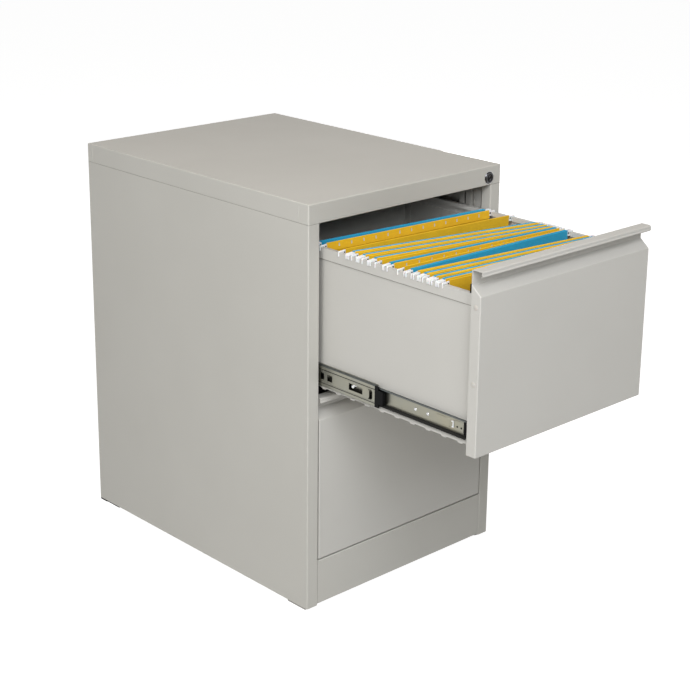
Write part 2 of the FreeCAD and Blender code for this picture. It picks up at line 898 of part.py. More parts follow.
def lock_bar():
    """Vertical bar with a slotted yoke for the crank pin and a hook over each drawer's catch."""
    front = front_y + bar_setback
    pin_z = lock_z + bar_travel / 2
    top = pin_z + yoke_height / 2
    bar = block((bar_inner_x, bar_inner_x + bar_gauge), (front, front + bar_width), (bar_foot_height, top))
    yoke = block(
        (lock_x - yoke_margin, bar_inner_x + bar_gauge),
        (front, front + bar_gauge),
        (pin_z - yoke_height / 2, top),
    )
    hooks = [
        block(
            (drawer_half_width + hook_thickness, bar_inner_x + bar_gauge),
            (front + hook_setback, front + hook_setback + hook_thickness),
            (hook_foot(base), hook_foot(base) + hook_height),
        )
        for base in (lower_drawer_base, upper_drawer_base)
    ]
    room = crank_pin_radius + pin_slot_clearance
    slot = block(
        (lock_x + pin_offset - room, lock_x + crank_radius + room),
        (front - sheet, front + 2 * bar_gauge),
        (pin_z - room, pin_z + room),
    )
    return fused([bar, yoke] + hooks).cut(slot)


def lock_bar_guides():
    """Two moulded guides between the right wall and the bar, one beside each drawer."""
    front = front_y + bar_setback - running_gap - guide_wall
    rear = front_y + bar_setback + bar_width + running_gap + guide_wall
    guides = []
    for base in (lower_drawer_base, upper_drawer_base):
        level = base + guide_level
        guide = block((bar_inner_x, half_width - sheet), (front, rear), (level, level + guide_length))
        channel = block(
            (bar_inner_x - sheet, bar_inner_x + bar_gauge + running_gap),
            (front + guide_wall, rear - guide_wall),
            (level - sheet, level + guide_length + sheet),
        )
        guides.append(guide.cut(channel))
    return Part.makeCompound(guides)


# Hanging files, placed in the upper drawer at its rest pose

def drawer_y(distance):
    """Place behind the upper drawer's front face at the rest pose."""
    return front_y - upper_drawer_pull + distance


def lofted(section, half_length):
    """Solid between the sections at the left and the right end."""
    wires = []
    for side in (-1, 1):
        points = [Vector(side * half_length, y, z) for y, z in section(side)]
        wires.append(Part.makePolygon(points + points[:1]))
    solid = Part.makeLoft(wires, True, True)
    if solid.Volume < 0:
        solid.reverse()
    return solid


def rail_lines(place, side):
    """Back and front rail of a file at one side of the drawer, and its fold midway."""
    back, front = (place[0], place[2]) if side < 0 else (place[1], place[3])
    return drawer_y(back), drawer_y(front), drawer_y((back + front) / 2)


def file_card(place):
    """One folded card: two flaps that hang from the rails and meet in the fold."""
    top = upper_drawer_base + side_top + card_rise
    foot = top - card_height

    def section(side):
        back, front, fold = rail_lines(place, side)
        return [
            (back, top), (fold + 1.5 * card_thickness, foot), (fold - 1.5 * card_thickness, foot),
            (front, top), (front + card_thickness, top),
            (fold, foot + 3 * card_thickness), (back - card_thickness, top),
        ]
    return lofted(section, card_half_width)


def file_rails(place):
    """The two flat rails of a file, inside its flaps and parallel to them."""
    top = upper_drawer_base + side_top + card_rise - rail_drop
    rails = []
    for flap in (0, 1):
        def section(side):
            lines = rail_lines(place, side)
            inward = -1 if flap == 0 else 1
            lean = (lines[2] - lines[flap]) / card_height
            near_y = lines[flap] + lean * rail_drop + inward * (card_thickness + assembly_gap)
            far_y = near_y + inward * rail_thickness
            drop = lean * rail_height
            return [(near_y, top), (far_y, top), (far_y + drop, top - rail_height), (near_y + drop, top - rail_height)]
        rails.append(lofted(section, card_half_width))
    return rails


def file_hooks(place):
    """Four moulded hooks that hang a file's rails on the drawer sides."""
    inner = card_half_width + assembly_gap
    bead_out = drawer_half_width + side_bead_bulge + running_gap
    bead_in = drawer_half_width + side_bead_bulge - side_bead_width - running_gap
    seat = upper_drawer_base + side_top
    corners = [
        (inner, seat - hook_leg, 0),
        (inner, seat + hook_wall, 0),
        (bead_out + hook_wall, seat + hook_wall, 0),
        (bead_out + hook_wall, seat - hook_leg, 0),
        (bead_out, seat - hook_leg, 0),
        (bead_out, seat, 0),
        (bead_in, seat, 0),
        (bead_in, seat - hook_leg, 0),
    ]
    hooks = []
    for side in (-1, 1):
        lines = rail_lines(place, side)
        for flap, inward in ((0, -1), (1, 1)):
            middle = lines[flap] + inward * (card_thickness + assembly_gap + rail_thickness / 2)
            outline_corners = [(side * x, z, radius) for x, z, radius in corners]
            start = middle - hook_plate_thickness / 2
            hooks.append(prism(outline_corners, "y", start, start + hook_plate_thickness))
    return hooks


# Writing

save_pair("side_panel", side_panel())
save("top_cap", top_cap())
save("back_panel", back_panel())
save("base_ring", base_ring())
save("levelling_feet", levelling_feet())
save("kick_plate", kick_plate())
save_pair("front_upright", upright(front_upright_start))
save_pair("rear_upright", upright(rear_upright_start))
save("lock_housing", lock_housing())
save("lock_clip", lock_clip())
save("lock_plug", lock_plug())
save("lock_crank", lock_crank())
save("lock_bar", lock_bar())
save("lock_bar_guides", lock_bar_guides())

for drawer, base, pull in (
    ("upper", upper_drawer_base, upper_drawer_pull),
    ("lower", lower_drawer_base, 0.0),
):
    axis = base + slide_axis_height
    fixed = Vector(0, 0, axis)
    save_pair(drawer + "_slide_cabinet_member", moved(cabinet_member(), fixed))
    middle = Vector(0, -pull * middle_ratio, axis)
    save_pair(drawer + "_slide_middle_member", moved(middle_member(), middle))
    left_bumper = moved(bumper(), middle)
    save(drawer + "_slide_bumpers", Part.makeCompound([left_bumper, mirrored(left_bumper)]))
    left_outer = moved(outer_cage(), Vector(0, -pull * outer_cage_ratio, axis))
    save(drawer + "_slide_outer_cages", Part.makeCompound([left_outer, mirrored(left_outer)]))
    left_inner = moved(inner_cage(), Vector(0, -pull * inner_cage_ratio, axis))
    save(drawer + "_slide_inner_cages", Part.makeCompound([left_inner, mirrored(left_inner)]))
    save_pair(drawer + "_slide_drawer_member", moved(drawer_member(), Vector(0, -pull, axis)))
    place = Vector(0, -pull, base)
    save(drawer + "_drawer_front", moved(drawer_front(), place))
    save(drawer + "_drawer_inner_front", moved(drawer_inner_front(), place))
    save_pair(drawer + "_drawer_side", moved(drawer_side(), place))
    save(drawer + "_drawer_bottom", moved(drawer_bottom(), place))
    save(drawer + "_drawer_back", moved(drawer_back(), place))
    save(drawer + "_drawer_buffers", moved(corner_buffers(), place))
    save(drawer + "_drawer_catch", moved(lock_catch(), place))

save("file_cards_blue", Part.makeCompound([file_card(place) for place in blue_file_places]))
save("file_cards_yellow", Part.makeCompound([file_card(place) for place in yellow_file_places]))
save("file_open_blue", file_card(open_blue_place))
save("file_open_yellow", file_card(open_yellow_place))
all_places = blue_file_places + yellow_file_places + (open_blue_place, open_yellow_place)
save("file_rails", Part.makeCompound([rail for place in all_places for rail in file_rails(place)]))
save("file_hooks", Part.makeCompound([hook for place in all_places for hook in file_hooks(place)]))

print("lock bar travel:", round(bar_travel, 3))
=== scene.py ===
import math

import bmesh
import bpy
from mathutils import Matrix, Vector


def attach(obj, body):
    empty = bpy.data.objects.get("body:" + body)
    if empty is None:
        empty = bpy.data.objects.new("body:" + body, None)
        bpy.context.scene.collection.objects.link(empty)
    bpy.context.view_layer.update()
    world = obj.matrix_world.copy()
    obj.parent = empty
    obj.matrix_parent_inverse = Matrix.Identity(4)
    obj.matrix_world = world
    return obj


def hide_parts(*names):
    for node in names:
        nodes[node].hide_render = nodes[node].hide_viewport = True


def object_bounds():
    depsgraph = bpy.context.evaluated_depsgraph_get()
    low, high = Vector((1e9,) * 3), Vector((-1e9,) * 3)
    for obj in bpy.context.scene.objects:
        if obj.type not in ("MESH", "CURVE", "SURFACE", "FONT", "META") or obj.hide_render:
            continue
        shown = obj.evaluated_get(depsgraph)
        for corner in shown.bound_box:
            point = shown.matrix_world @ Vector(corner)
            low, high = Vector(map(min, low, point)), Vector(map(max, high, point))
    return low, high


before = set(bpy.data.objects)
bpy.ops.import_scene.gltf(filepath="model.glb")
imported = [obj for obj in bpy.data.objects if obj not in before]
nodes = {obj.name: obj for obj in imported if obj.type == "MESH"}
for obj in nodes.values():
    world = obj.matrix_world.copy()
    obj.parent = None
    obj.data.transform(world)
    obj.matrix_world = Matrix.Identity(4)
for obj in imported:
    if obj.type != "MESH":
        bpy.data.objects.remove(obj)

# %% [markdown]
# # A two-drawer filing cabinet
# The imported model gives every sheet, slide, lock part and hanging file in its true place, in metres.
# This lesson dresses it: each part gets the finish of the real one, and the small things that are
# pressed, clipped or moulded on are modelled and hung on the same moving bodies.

MM = 0.001
cad_low, cad_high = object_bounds()
print("model", [round(value, 4) for value in cad_high - cad_low])

# %% [markdown]
# ## Where the photographer stood
# The cabinet is seen from the front left, a little above its top, with a long lens. Heading, tilt and
# roll turn the camera. A small shift of the lens takes up part of the look downward, so that upright
# edges stay nearly parallel.

# %% Camera
CAMERA_PLACE = Vector((-1.86841, -2.14100, 1.34431))
CAMERA_HEADING = 43.206
CAMERA_TILT = -16.804
CAMERA_ROLL = 0.618
CAMERA_LENS = 82.833
CAMERA_SHIFT_Y = -0.10

camera_data = bpy.data.cameras.new("camera")
camera_data.lens = CAMERA_LENS
camera_data.sensor_width = 36
camera_data.shift_y = CAMERA_SHIFT_Y
camera = bpy.data.objects.new("camera", camera_data)
bpy.context.scene.collection.objects.link(camera)
turned = Matrix.Rotation(math.radians(-CAMERA_HEADING), 4, "Z")
tilted = Matrix.Rotation(math.radians(90 + CAMERA_TILT), 4, "X")
rolled = Matrix.Rotation(math.radians(CAMERA_ROLL), 4, "Z")
camera.matrix_world = Matrix.Translation(CAMERA_PLACE) @ turned @ tilted @ rolled
bpy.context.scene.camera = camera
bpy.context.scene.view_settings.view_transform = "Standard"
print("camera", [round(value, 3) for value in camera.matrix_world.translation])

# %% [markdown]
# ## Building materials
# Every finish is a small node tree. One function turns the colours that a painter would name into
# linear light, and one adds a node with its settings and its links, so that each tree reads as a list.
# Four short ones make what every finish needs: a grain, a spread of values, dents and a blend of tones.

# %% Colour and node helpers
def linear(code):
    """Linear colour of an sRGB hex code."""
    levels = [int(code[place:place + 2], 16) / 255 for place in (0, 2, 4)]
    return [v / 12.92 if v <= 0.04045 else ((v + 0.055) / 1.055) ** 2.4 for v in levels] + [1.0]


def add(tree, kind, settings=None, links=None):
    """New node with its properties or socket values set, and its inputs linked."""
    node = tree.nodes.new(kind)
    for name, value in (settings or {}).items():
        if isinstance(name, str) and hasattr(node, name):
            setattr(node, name, value)
        else:
            node.inputs[name].default_value = value
    for name, source in (links or {}).items():
        tree.links.new(source, node.inputs[name])
    return node


def new_material(name):
    """Empty material with its output, and its tree."""
    material = bpy.data.materials.new(name)
    material.use_nodes = True
    tree = material.node_tree
    tree.nodes.clear()
    output = tree.nodes.new("ShaderNodeOutputMaterial")
    return material, tree, output


def noise(tree, size, detail, vector):
    """Noise whose grain is a real size in millimetres."""
    return add(tree, "ShaderNodeTexNoise", {"Scale": 1 / (size * MM), "Detail": detail}, {"Vector": vector})


def spread(tree, source, low, high):
    """Source from 0 to 1, spread between two values."""
    return add(tree, "ShaderNodeMapRange", {"To Min": low, "To Max": high}, {"Value": source})


def dents(tree, source, strength, depth):
    """Bump from the source, with its depth in millimetres."""
    return add(tree, "ShaderNodeBump", {"Strength": strength, "Distance": depth * MM}, {"Height": source})


def blend(tree, source, first, second):
    """Colour between two hex codes, chosen by the source."""
    colours = {"data_type": "RGBA", 6: linear(first), 7: linear(second)}
    return add(tree, "ShaderNodeMix", colours, {0: source})


print("helpers ready")

# %% [markdown]
# ## Powder-coated sheet steel
# The carcass and drawers are pressed from sheet steel and powder coated in a warm light grey. The
# powder melts into a skin with a fine orange peel, about 2 mm from dimple to dimple, and it pools and
# thins over a hand's width, so the gloss and the tone drift very slightly. A darker, duller copy of
# the coat is painted shade, for joints and gaps where shade falls.

# %% Powder coat
HAND_WIDTH = 160
ORANGE_PEEL = 2.2


def powder_coat(name, colour, shade, gloss):
    """Melted powder: a warm grey skin with orange peel and a faint drift in tone."""
    material, tree, output = new_material(name)
    place = add(tree, "ShaderNodeTexCoord")
    drift = noise(tree, HAND_WIDTH, 2.0, place.outputs["Object"])
    tone = blend(tree, drift.outputs["Fac"], colour, shade)
    peel = noise(tree, ORANGE_PEEL, 1.0, place.outputs["Object"])
    bump = dents(tree, peel.outputs["Fac"], 0.12, 0.05)
    rough = spread(tree, drift.outputs["Fac"], gloss - 0.04, gloss + 0.05)
    shader = add(tree, "ShaderNodeBsdfPrincipled", {"IOR": 1.5}, {
        "Base Color": tone.outputs[2], "Roughness": rough.outputs[0], "Normal": bump.outputs[0]})
    tree.links.new(shader.outputs[0], output.inputs["Surface"])
    return material


shell_coat = powder_coat("powder_coat_shell", "b6b4ad", "b1afa8", 0.42)
drawer_coat = powder_coat("powder_coat_drawer", "bab8b2", "b5b3ad", 0.40)
inner_coat = powder_coat("powder_coat_inside", "a19f99", "9a9892", 0.50)
# Painted shade: a darker, duller copy of the shell's coat, laid where joints and gaps fall in shade.
painted_shade_coat = powder_coat("powder_coat_painted_seam_shade", "8c8983", "84817b", 0.60)
print("powder coats", shell_coat.name, drawer_coat.name, inner_coat.name, painted_shade_coat.name)

# %% [markdown]
# ## Zinc-plated slides
# The slide members are rolled from cold-drawn strip and zinc plated. The zinc is satin, clouded with
# the yellow cast of its passivation, and the rolls leave hair-fine lines along the strip.

# %% Zinc plate and cage steel
ALONG_STRIP = (1.0, 0.02, 1.0)
ROLL_LINE = 0.9


def rolled_zinc(name, colour, cast, rough_low, rough_high, cloud_size=22):
    """Satin plated strip with lines along its length, which is the drawer's Y."""
    material, tree, output = new_material(name)
    place = add(tree, "ShaderNodeTexCoord")
    along = add(tree, "ShaderNodeMapping", {"Scale": ALONG_STRIP}, {"Vector": place.outputs["Object"]})
    lines = noise(tree, ROLL_LINE, 2.0, along.outputs[0])
    cloud = noise(tree, cloud_size, 3.0, place.outputs["Object"])
    tint = blend(tree, cloud.outputs["Fac"], colour, cast)
    rough = spread(tree, lines.outputs["Fac"], rough_low, rough_high)
    bump = dents(tree, lines.outputs["Fac"], 0.25, 0.02)
    shader = add(tree, "ShaderNodeBsdfPrincipled", {"Metallic": 1.0}, {
        "Base Color": tint.outputs[2], "Roughness": rough.outputs[0], "Normal": bump.outputs[0]})
    tree.links.new(shader.outputs[0], output.inputs["Surface"])
    return material


slide_zinc = rolled_zinc("zinc_plated_slide_strip", "9e9882", "7c8284", 0.26, 0.42, 70)
cage_steel = rolled_zinc("cold_rolled_cage_steel", "8f8d88", "7f7d78", 0.35, 0.5)
print("plated steels", slide_zinc.name, cage_steel.name)

# %% [markdown]
# ## Chrome and lock steel
# The lock's bezel is turned and chrome plated. Its chrome is painted dark, a painted reflection of a
# dark room, with a faint trace of the polishing wheel, and the plug's chrome is painted black the
# same way. Screws, balls and the bezel's rim are bright chrome, and the crank and the clip are plain
# plated steel, duller and darker.

# %% Chrome and machined steel
def polished_metal(name, colour, roughness, grain):
    """Polished or machined metal with a fine even grain."""
    material, tree, output = new_material(name)
    place = add(tree, "ShaderNodeTexCoord")
    polish = noise(tree, grain, 3.0, place.outputs["Object"])
    rough = spread(tree, polish.outputs["Fac"], roughness * 0.7, roughness * 1.3)
    bump = dents(tree, polish.outputs["Fac"], 0.1, 0.01)
    shader = add(tree, "ShaderNodeBsdfPrincipled", {"Base Color": linear(colour), "Metallic": 1.0}, {
        "Roughness": rough.outputs[0], "Normal": bump.outputs[0]})
    tree.links.new(shader.outputs[0], output.inputs["Surface"])
    return material


chrome = polished_metal("chrome_plate_on_brass", "c9cacb", 0.10, 1.2)
lock_steel = polished_metal("zinc_die_cast_lock_metal", "6b6a67", 0.35, 0.8)
# Painted reflection: chrome darkened to show a dark room in its mirror. The plug's is darker still.
chrome_painted_dark = polished_metal("bezel_chrome_with_painted_dark_reflection", "4e4e50", 0.16, 1.0)
chrome_painted_black = polished_metal("plug_chrome_with_painted_black_reflection", "161617", 0.25, 1.0)
print("lock metals", chrome.name, lock_steel.name, chrome_painted_dark.name, chrome_painted_black.name)

# %% [markdown]
# ## Moulded plastics
# The slide's bumpers are black acetal, the plugs are grey polythene and the files hang on white nylon
# hooks. All leave the mould with a satin skin. The nylon lets a little light in, which softens the
# edges of the hooks. The lacquer on the files' rails has the same kind of skin.

# %% Acetal, nylon, polythene and lacquer
MOULD_SKIN = 0.7


def moulded_plastic(name, colour, roughness, depth, shine=0.3):
    """Satin moulded plastic with a fine spark-eroded skin."""
    material, tree, output = new_material(name)
    place = add(tree, "ShaderNodeTexCoord")
    skin = noise(tree, MOULD_SKIN, 2.0, place.outputs["Object"])
    bump = dents(tree, skin.outputs["Fac"], 0.2, 0.02)
    rough = spread(tree, skin.outputs["Fac"], roughness - 0.05, roughness + 0.08)
    shader = add(tree, "ShaderNodeBsdfPrincipled", {
        "Base Color": linear(colour), "IOR": 1.5, "Specular IOR Level": shine,
        "Subsurface Weight": depth, "Subsurface Scale": 1.0 * MM}, {
        "Roughness": rough.outputs[0], "Normal": bump.outputs[0]})
    tree.links.new(shader.outputs[0], output.inputs["Surface"])
    return material


black_acetal = moulded_plastic("black_acetal", "0a0a0b", 0.5, 0.0, 0.08)
white_nylon = moulded_plastic("white_nylon", "e2e2e2", 0.40, 0.10)
grey_polythene = moulded_plastic("grey_polythene_plug", "b7b3ac", 0.5, 0.05)
rail_lacquer = moulded_plastic("grey_lacquer_on_file_rail", "b4bab6", 0.45, 0.0)
print("plastics", black_acetal.name, white_nylon.name, grey_polythene.name, rail_lacquer.name)

# %% [markdown]
# ## Dyed file card
# Hanging files are cut from dyed kraft card. It is matt, with pulp fibres that lie mostly across the
# sheet, and its colour clouds a little from fibre to fibre. The fibres are drawn coarser than real
# ones, about 1.5 mm, so that they show.

# %% Kraft card
ACROSS_SHEET = (0.25, 1.0, 1.0)
FIBRE = 1.5
FIBRE_CLOUD = 35


def kraft_card(name, colour, shade):
    """Dyed pulp card: matt, with fibres along X and a cloudy tone."""
    material, tree, output = new_material(name)
    place = add(tree, "ShaderNodeTexCoord")
    sideways = add(tree, "ShaderNodeMapping", {"Scale": ACROSS_SHEET}, {"Vector": place.outputs["Object"]})
    fibre = noise(tree, FIBRE, 4.0, sideways.outputs[0])
    cloud = noise(tree, FIBRE_CLOUD, 3.0, place.outputs["Object"])
    both = add(tree, "ShaderNodeMath", {"operation": "MULTIPLY"},
               {0: fibre.outputs["Fac"], 1: cloud.outputs["Fac"]})
    share = add(tree, "ShaderNodeMapRange", {"From Min": 0.1, "From Max": 0.45}, {"Value": both.outputs[0]})
    tone = blend(tree, share.outputs[0], shade, colour)
    bump = dents(tree, fibre.outputs["Fac"], 0.3, 0.05)
    shader = add(tree, "ShaderNodeBsdfPrincipled", {
        "Roughness": 0.75, "IOR": 1.45, "Sheen Weight": 0.1, "Sheen Roughness": 0.5}, {
        "Base Color": tone.outputs[2], "Normal": bump.outputs[0]})
    tree.links.new(shader.outputs[0], output.inputs["Surface"])
    return material


blue_card = kraft_card("blue_dyed_kraft_card", "1c98be", "1889ae")
yellow_card = kraft_card("yellow_dyed_kraft_card", "ddb010", "cd9f0c")
print("cards", blue_card.name, yellow_card.name)

# %% Finishes on the model's own parts
FINISHES = {
    "shell_paint": shell_coat,
    "drawer_paint": drawer_coat,
    "inner_paint": inner_coat,
    "slide_zinc": slide_zinc,
    "cage_steel": cage_steel,
    "chrome": chrome_painted_dark,
    "lock_steel": lock_steel,
    "black_plastic": black_acetal,
    "hook_plastic": white_nylon,
    "blue_card": blue_card,
    "yellow_card": yellow_card,
    "rail_steel": rail_lacquer,
}
for name, node in nodes.items():
    for place in node.material_slots:
        place.material = FINISHES[place.material.name.split(".")[0]]
for name, finish in (("lock_bar", inner_coat), ("lock_plug", chrome_painted_black)):
    for place in nodes[name].material_slots:
        place.material = finish
print("dressed", len(nodes), "nodes")

# %% [markdown]
# ## Pieces of our own
# Each added piece is shaped in a bmesh in millimetres, scaled to metres at the end, given its finish
# and hung on the body that carries it. The edges of a piece are kept sharp where it really folds.
# What several pieces need has a function: a block, a flat plate, a bent strip, a sheet's thickness.

# %% From a bmesh to a finished piece
def finish_piece(name, shape, body, material, smooth=35, stands_for=()):
    """Object from a bmesh in millimetres, with its finish, riding on its body."""
    mesh = bpy.data.meshes.new(name)
    shape.to_mesh(mesh)
    shape.free()
    mesh.transform(Matrix.Scale(MM, 4))
    for finish in (material if isinstance(material, (list, tuple)) else [material]):
        mesh.materials.append(finish)
    if smooth:
        for polygon in mesh.polygons:
            polygon.use_smooth = True
        mesh.set_sharp_from_angle(angle=math.radians(smooth))
    made = bpy.data.objects.new(name, mesh)
    bpy.context.scene.collection.objects.link(made)
    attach(made, body)
    if stands_for:
        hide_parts(*stands_for)
    print(name, len(mesh.polygons), "faces on", body)
    return made


def add_block(shape, low, high, edge=0.0, segments=2):
    """Block between two corners with its edges rounded, and its vertices."""
    size = [b - a for a, b in zip(low, high)]
    middle = [(a + b) / 2 for a, b in zip(low, high)]
    placed = Matrix.Translation(middle) @ Matrix.Diagonal((*size, 1))
    made = bmesh.ops.create_cube(shape, size=1, matrix=placed)["verts"]
    if edge:
        edges = list({one for vertex in made for one in vertex.link_edges})
        made = bmesh.ops.bevel(shape, geom=edges, offset=edge, segments=segments, profile=0.5,
                               affect="EDGES", clamp_overlap=True, material=-1)["verts"]
    return made


def only_verts(parts):
    """The vertices among the parts that a bmesh operator returns."""
    return [one for one in parts if isinstance(one, bmesh.types.BMVert)]


def add_plate(shape, corners, shift):
    """Flat outline extruded by a shift."""
    face = shape.faces.new([shape.verts.new(corner) for corner in corners])
    raised = bmesh.ops.extrude_face_region(shape, geom=[face])["geom"]
    bmesh.ops.translate(shape, verts=only_verts(raised), vec=shift)


def add_bent_strip(shape, points, shift):
    """Open line of points drawn along a shift into a strip."""
    line = [shape.verts.new(point) for point in points]
    edges = [shape.edges.new(pair) for pair in zip(line, line[1:])]
    grown = bmesh.ops.extrude_edge_only(shape, edges=edges)["geom"]
    bmesh.ops.translate(shape, verts=only_verts(grown), vec=shift)


def give_gauge(piece, gauge):
    """Thickness in millimetres, half to each side of the modelled sheet."""
    sheet = piece.modifiers.new("gauge", "SOLIDIFY")
    sheet.thickness = gauge * MM
    sheet.offset = 0


def across(side, near, far):
    """Lower and upper X of a span on one side."""
    return sorted((side * near, side * far))


BOTH_SIDES = (-1, 1)
print("piece helpers ready")

# %% [markdown]
# ## Hanging files
# A hanging file is one sheet of card. Its two top edges are folded over flat steel rails and glued
# down inside, which makes a sleeve 14 mm deep, and thirteen slots in the sleeve take the index tabs.
# A grid is bent to that section: its columns run from the left hook to the right hook, its rows follow
# the card from one sleeve, down to the fold and up to the other, and slot faces are taken out.

# %% Places of the files
DRAWER_FACE_Y = -660.0
FILE_TOP = 646.0
FILE_DEPTH = 236.0
CARD_HALF_WIDTH = 181.0
CARD_THICKNESS = 0.45
OUTER_LAYER = 0.3
INNER_LAYER = 1.8
SLEEVE_DEPTH = 14.0
SLOT_COUNT = 13
SLOT_PITCH = 26.0
SLOT_WIDTH = 2.8
SLOT_TOP = 3.2
SLOT_FOOT = 8.6

# Distances behind the drawer's face, for each file: its back flap at the left and at the right, then
# its front flap at the left and at the right. Neighbours lean on each other, so few are parallel.
BLUE_FILES = (
    (378.0, 345.0, 372.0, 339.0),
    (299.0, 226.0, 294.2, 221.2),
    (275.0, 208.0, 270.2, 203.2),
    (249.0, 194.0, 244.2, 189.2),
    (215.0, 181.0, 210.2, 176.2),
    (139.0, 102.0, 134.2, 97.2),
    (118.5, 86.5, 113.7, 81.7),
    (100.0, 71.0, 95.2, 66.2),
)
YELLOW_FILES = (
    (293.2, 220.2, 284.0, 213.5),
    (269.2, 202.2, 259.5, 197.0),
    (243.2, 188.2, 230.0, 183.0),
    (205.0, 172.0, 180.0, 159.0),
    (152.5, 110.5, 145.5, 105.5),
    (133.2, 96.2, 125.5, 90.5),
    (112.7, 80.7, 106.5, 75.5),
    (94.2, 65.2, 84.0, 57.5),
)
OPEN_YELLOW_FILE = (361.0, 332.0, 314.0, 283.0)
OPEN_BLUE_FILE = (168.0, 158.5, 161.5, 152.0)
print("files", len(BLUE_FILES) + len(YELLOW_FILES) + 2)

# %% One file bent from a grid
SLOT_MIDDLES = [(index - (SLOT_COUNT - 1) / 2) * SLOT_PITCH for index in range(SLOT_COUNT)]
FLAP_SHARES = (0.2, 0.45, 0.7, 0.9)


def file_columns():
    """Places across the card, with a pair of columns at each slot's edges."""
    edges = [middle + half for middle in SLOT_MIDDLES for half in (-SLOT_WIDTH / 2, SLOT_WIDTH / 2)]
    return [-CARD_HALF_WIDTH, *edges, CARD_HALF_WIDTH]


def flap_rows(line, fold, inward, bow):
    """Section of one flap from its sleeve's lower edge to just above the fold."""
    top = FILE_TOP
    lean = (fold - line) / FILE_DEPTH
    rows = [(line + inward * INNER_LAYER + lean * drop, top - drop)
            for drop in (SLEEVE_DEPTH, SLOT_FOOT, SLOT_TOP, 0.5)]
    rows.append((line + inward * (INNER_LAYER + OUTER_LAYER) / 2, top + 0.2))
    rows.append((line + inward * OUTER_LAYER, top - 0.5))
    for share in FLAP_SHARES:
        y = line + (fold - line) * share + inward * OUTER_LAYER * (1 - share)
        rows.append((y - inward * bow * math.sin(math.pi * share), top - FILE_DEPTH * share))
    return rows


def file_section(back, front, bow):
    """Section of a whole file: back flap, fold and front flap."""
    fold = (back + front) / 2
    behind = flap_rows(back, fold, -1, bow)
    ahead = flap_rows(front, fold, 1, bow)
    foot = FILE_TOP - FILE_DEPTH
    return behind + [(fold + 0.7, foot + 4), (fold, foot + 0.4), (fold - 0.7, foot + 4)] + ahead[::-1]


def in_file_slot(face):
    """True for a face that lies in a slot of the sleeve."""
    middle = face.calc_center_median()
    aside = min(abs(middle.x - place) for place in SLOT_MIDDLES)
    return aside < SLOT_WIDTH / 2 and SLOT_TOP < FILE_TOP - middle.z < SLOT_FOOT


def file_sheets(name, places, material, stands_for, bow):
    """All files of one colour, as bent sheets of card."""
    shape = bmesh.new()
    columns = file_columns()
    rows = len(file_section(0, 0, 0))
    for place in places:
        left = file_section(DRAWER_FACE_Y + place[0], DRAWER_FACE_Y + place[2], bow)
        right = file_section(DRAWER_FACE_Y + place[1], DRAWER_FACE_Y + place[3], bow)
        grid = bmesh.ops.create_grid(
            shape, x_segments=len(columns) - 1, y_segments=rows - 1, size=1)["verts"]
        beside_slots = set()
        for vertex in grid:
            column = round((vertex.co.x + 1) / 2 * (len(columns) - 1))
            row = round((vertex.co.y + 1) / 2 * (rows - 1))
            x = columns[column]
            share = (x + CARD_HALF_WIDTH) / (2 * CARD_HALF_WIDTH)
            y = left[row][0] * (1 - share) + right[row][0] * share
            vertex.co = (x, y, left[row][1])
            if row in (1, rows - 3):
                beside_slots.update(vertex.link_faces)
        taken = [face for face in beside_slots if in_file_slot(face)]
        bmesh.ops.delete(shape, geom=taken, context="FACES")
    give_gauge(finish_piece(name, shape, "upper_drawer", material, 0, stands_for), CARD_THICKNESS)


for name, places, card, slot, node, bow in (
        ("blue_hanging_files", BLUE_FILES, blue_card, "blue_card", "file_cards_blue", 0.3),
        ("yellow_hanging_files", YELLOW_FILES, yellow_card, "yellow_card", "file_cards_yellow", 0.3),
        ("open_blue_file", [OPEN_BLUE_FILE], blue_card, "blue_card", "file_open_blue", 2.0),
        ("open_yellow_file", [OPEN_YELLOW_FILE], yellow_card, "yellow_card", "file_open_yellow", 3.0)):
    file_sheets(name, places, card, [node], bow)

# %% [markdown]
# ## Nylon hooks
# Each rail ends in a moulded nylon hook that drops over the drawer's rolled rail. It is a flat arch,
# 1.7 mm thick, with a pad where it grips the steel rail. A small black block in the pad is painted
# shade of the hole there. The outline is one polygon, with its outer corner turned in an arc, which
# is extruded and has its edges rounded.

# %% Hooks on the rolled rail
HOOK_THICKNESS = 1.7
HOOK_BAR = 3.0
HOOK_SEAT = 641.6
HOOK_INNER = 181.1
HOOK_OUTER = 196.7
HOOK_BEAD_OUT = 194.9
HOOK_BEAD_IN = 187.0
HOOK_DROP = 6.2
HOOK_TIP = 5.6
PAD_RISE = 3.4
PAD_WIDTH = 4.0
ARC_RADIUS = 2.6
ARC_TURNS = (0, 30, 60, 90)
RAIL_MIDDLE = 1.1


def hook_outline():
    """Outline of the right-hand hook in X and Z, above the rail's seat."""
    seat = HOOK_SEAT
    arc = [(HOOK_OUTER - ARC_RADIUS + ARC_RADIUS * math.sin(math.radians(turn)),
            seat + HOOK_BAR - ARC_RADIUS + ARC_RADIUS * math.cos(math.radians(turn))) for turn in ARC_TURNS]
    return [
        (HOOK_INNER, seat - HOOK_DROP), (HOOK_INNER, seat + PAD_RISE),
        (HOOK_INNER + PAD_WIDTH, seat + PAD_RISE), (HOOK_INNER + 5.2, seat + HOOK_BAR), *arc,
        (HOOK_OUTER, seat - HOOK_TIP), (HOOK_OUTER - 0.6, seat - 6.4), (HOOK_BEAD_OUT + 0.1, seat - HOOK_TIP),
        (HOOK_BEAD_OUT, seat + 0.1), (HOOK_BEAD_IN, seat + 0.1), (HOOK_BEAD_IN, seat - HOOK_DROP),
    ]


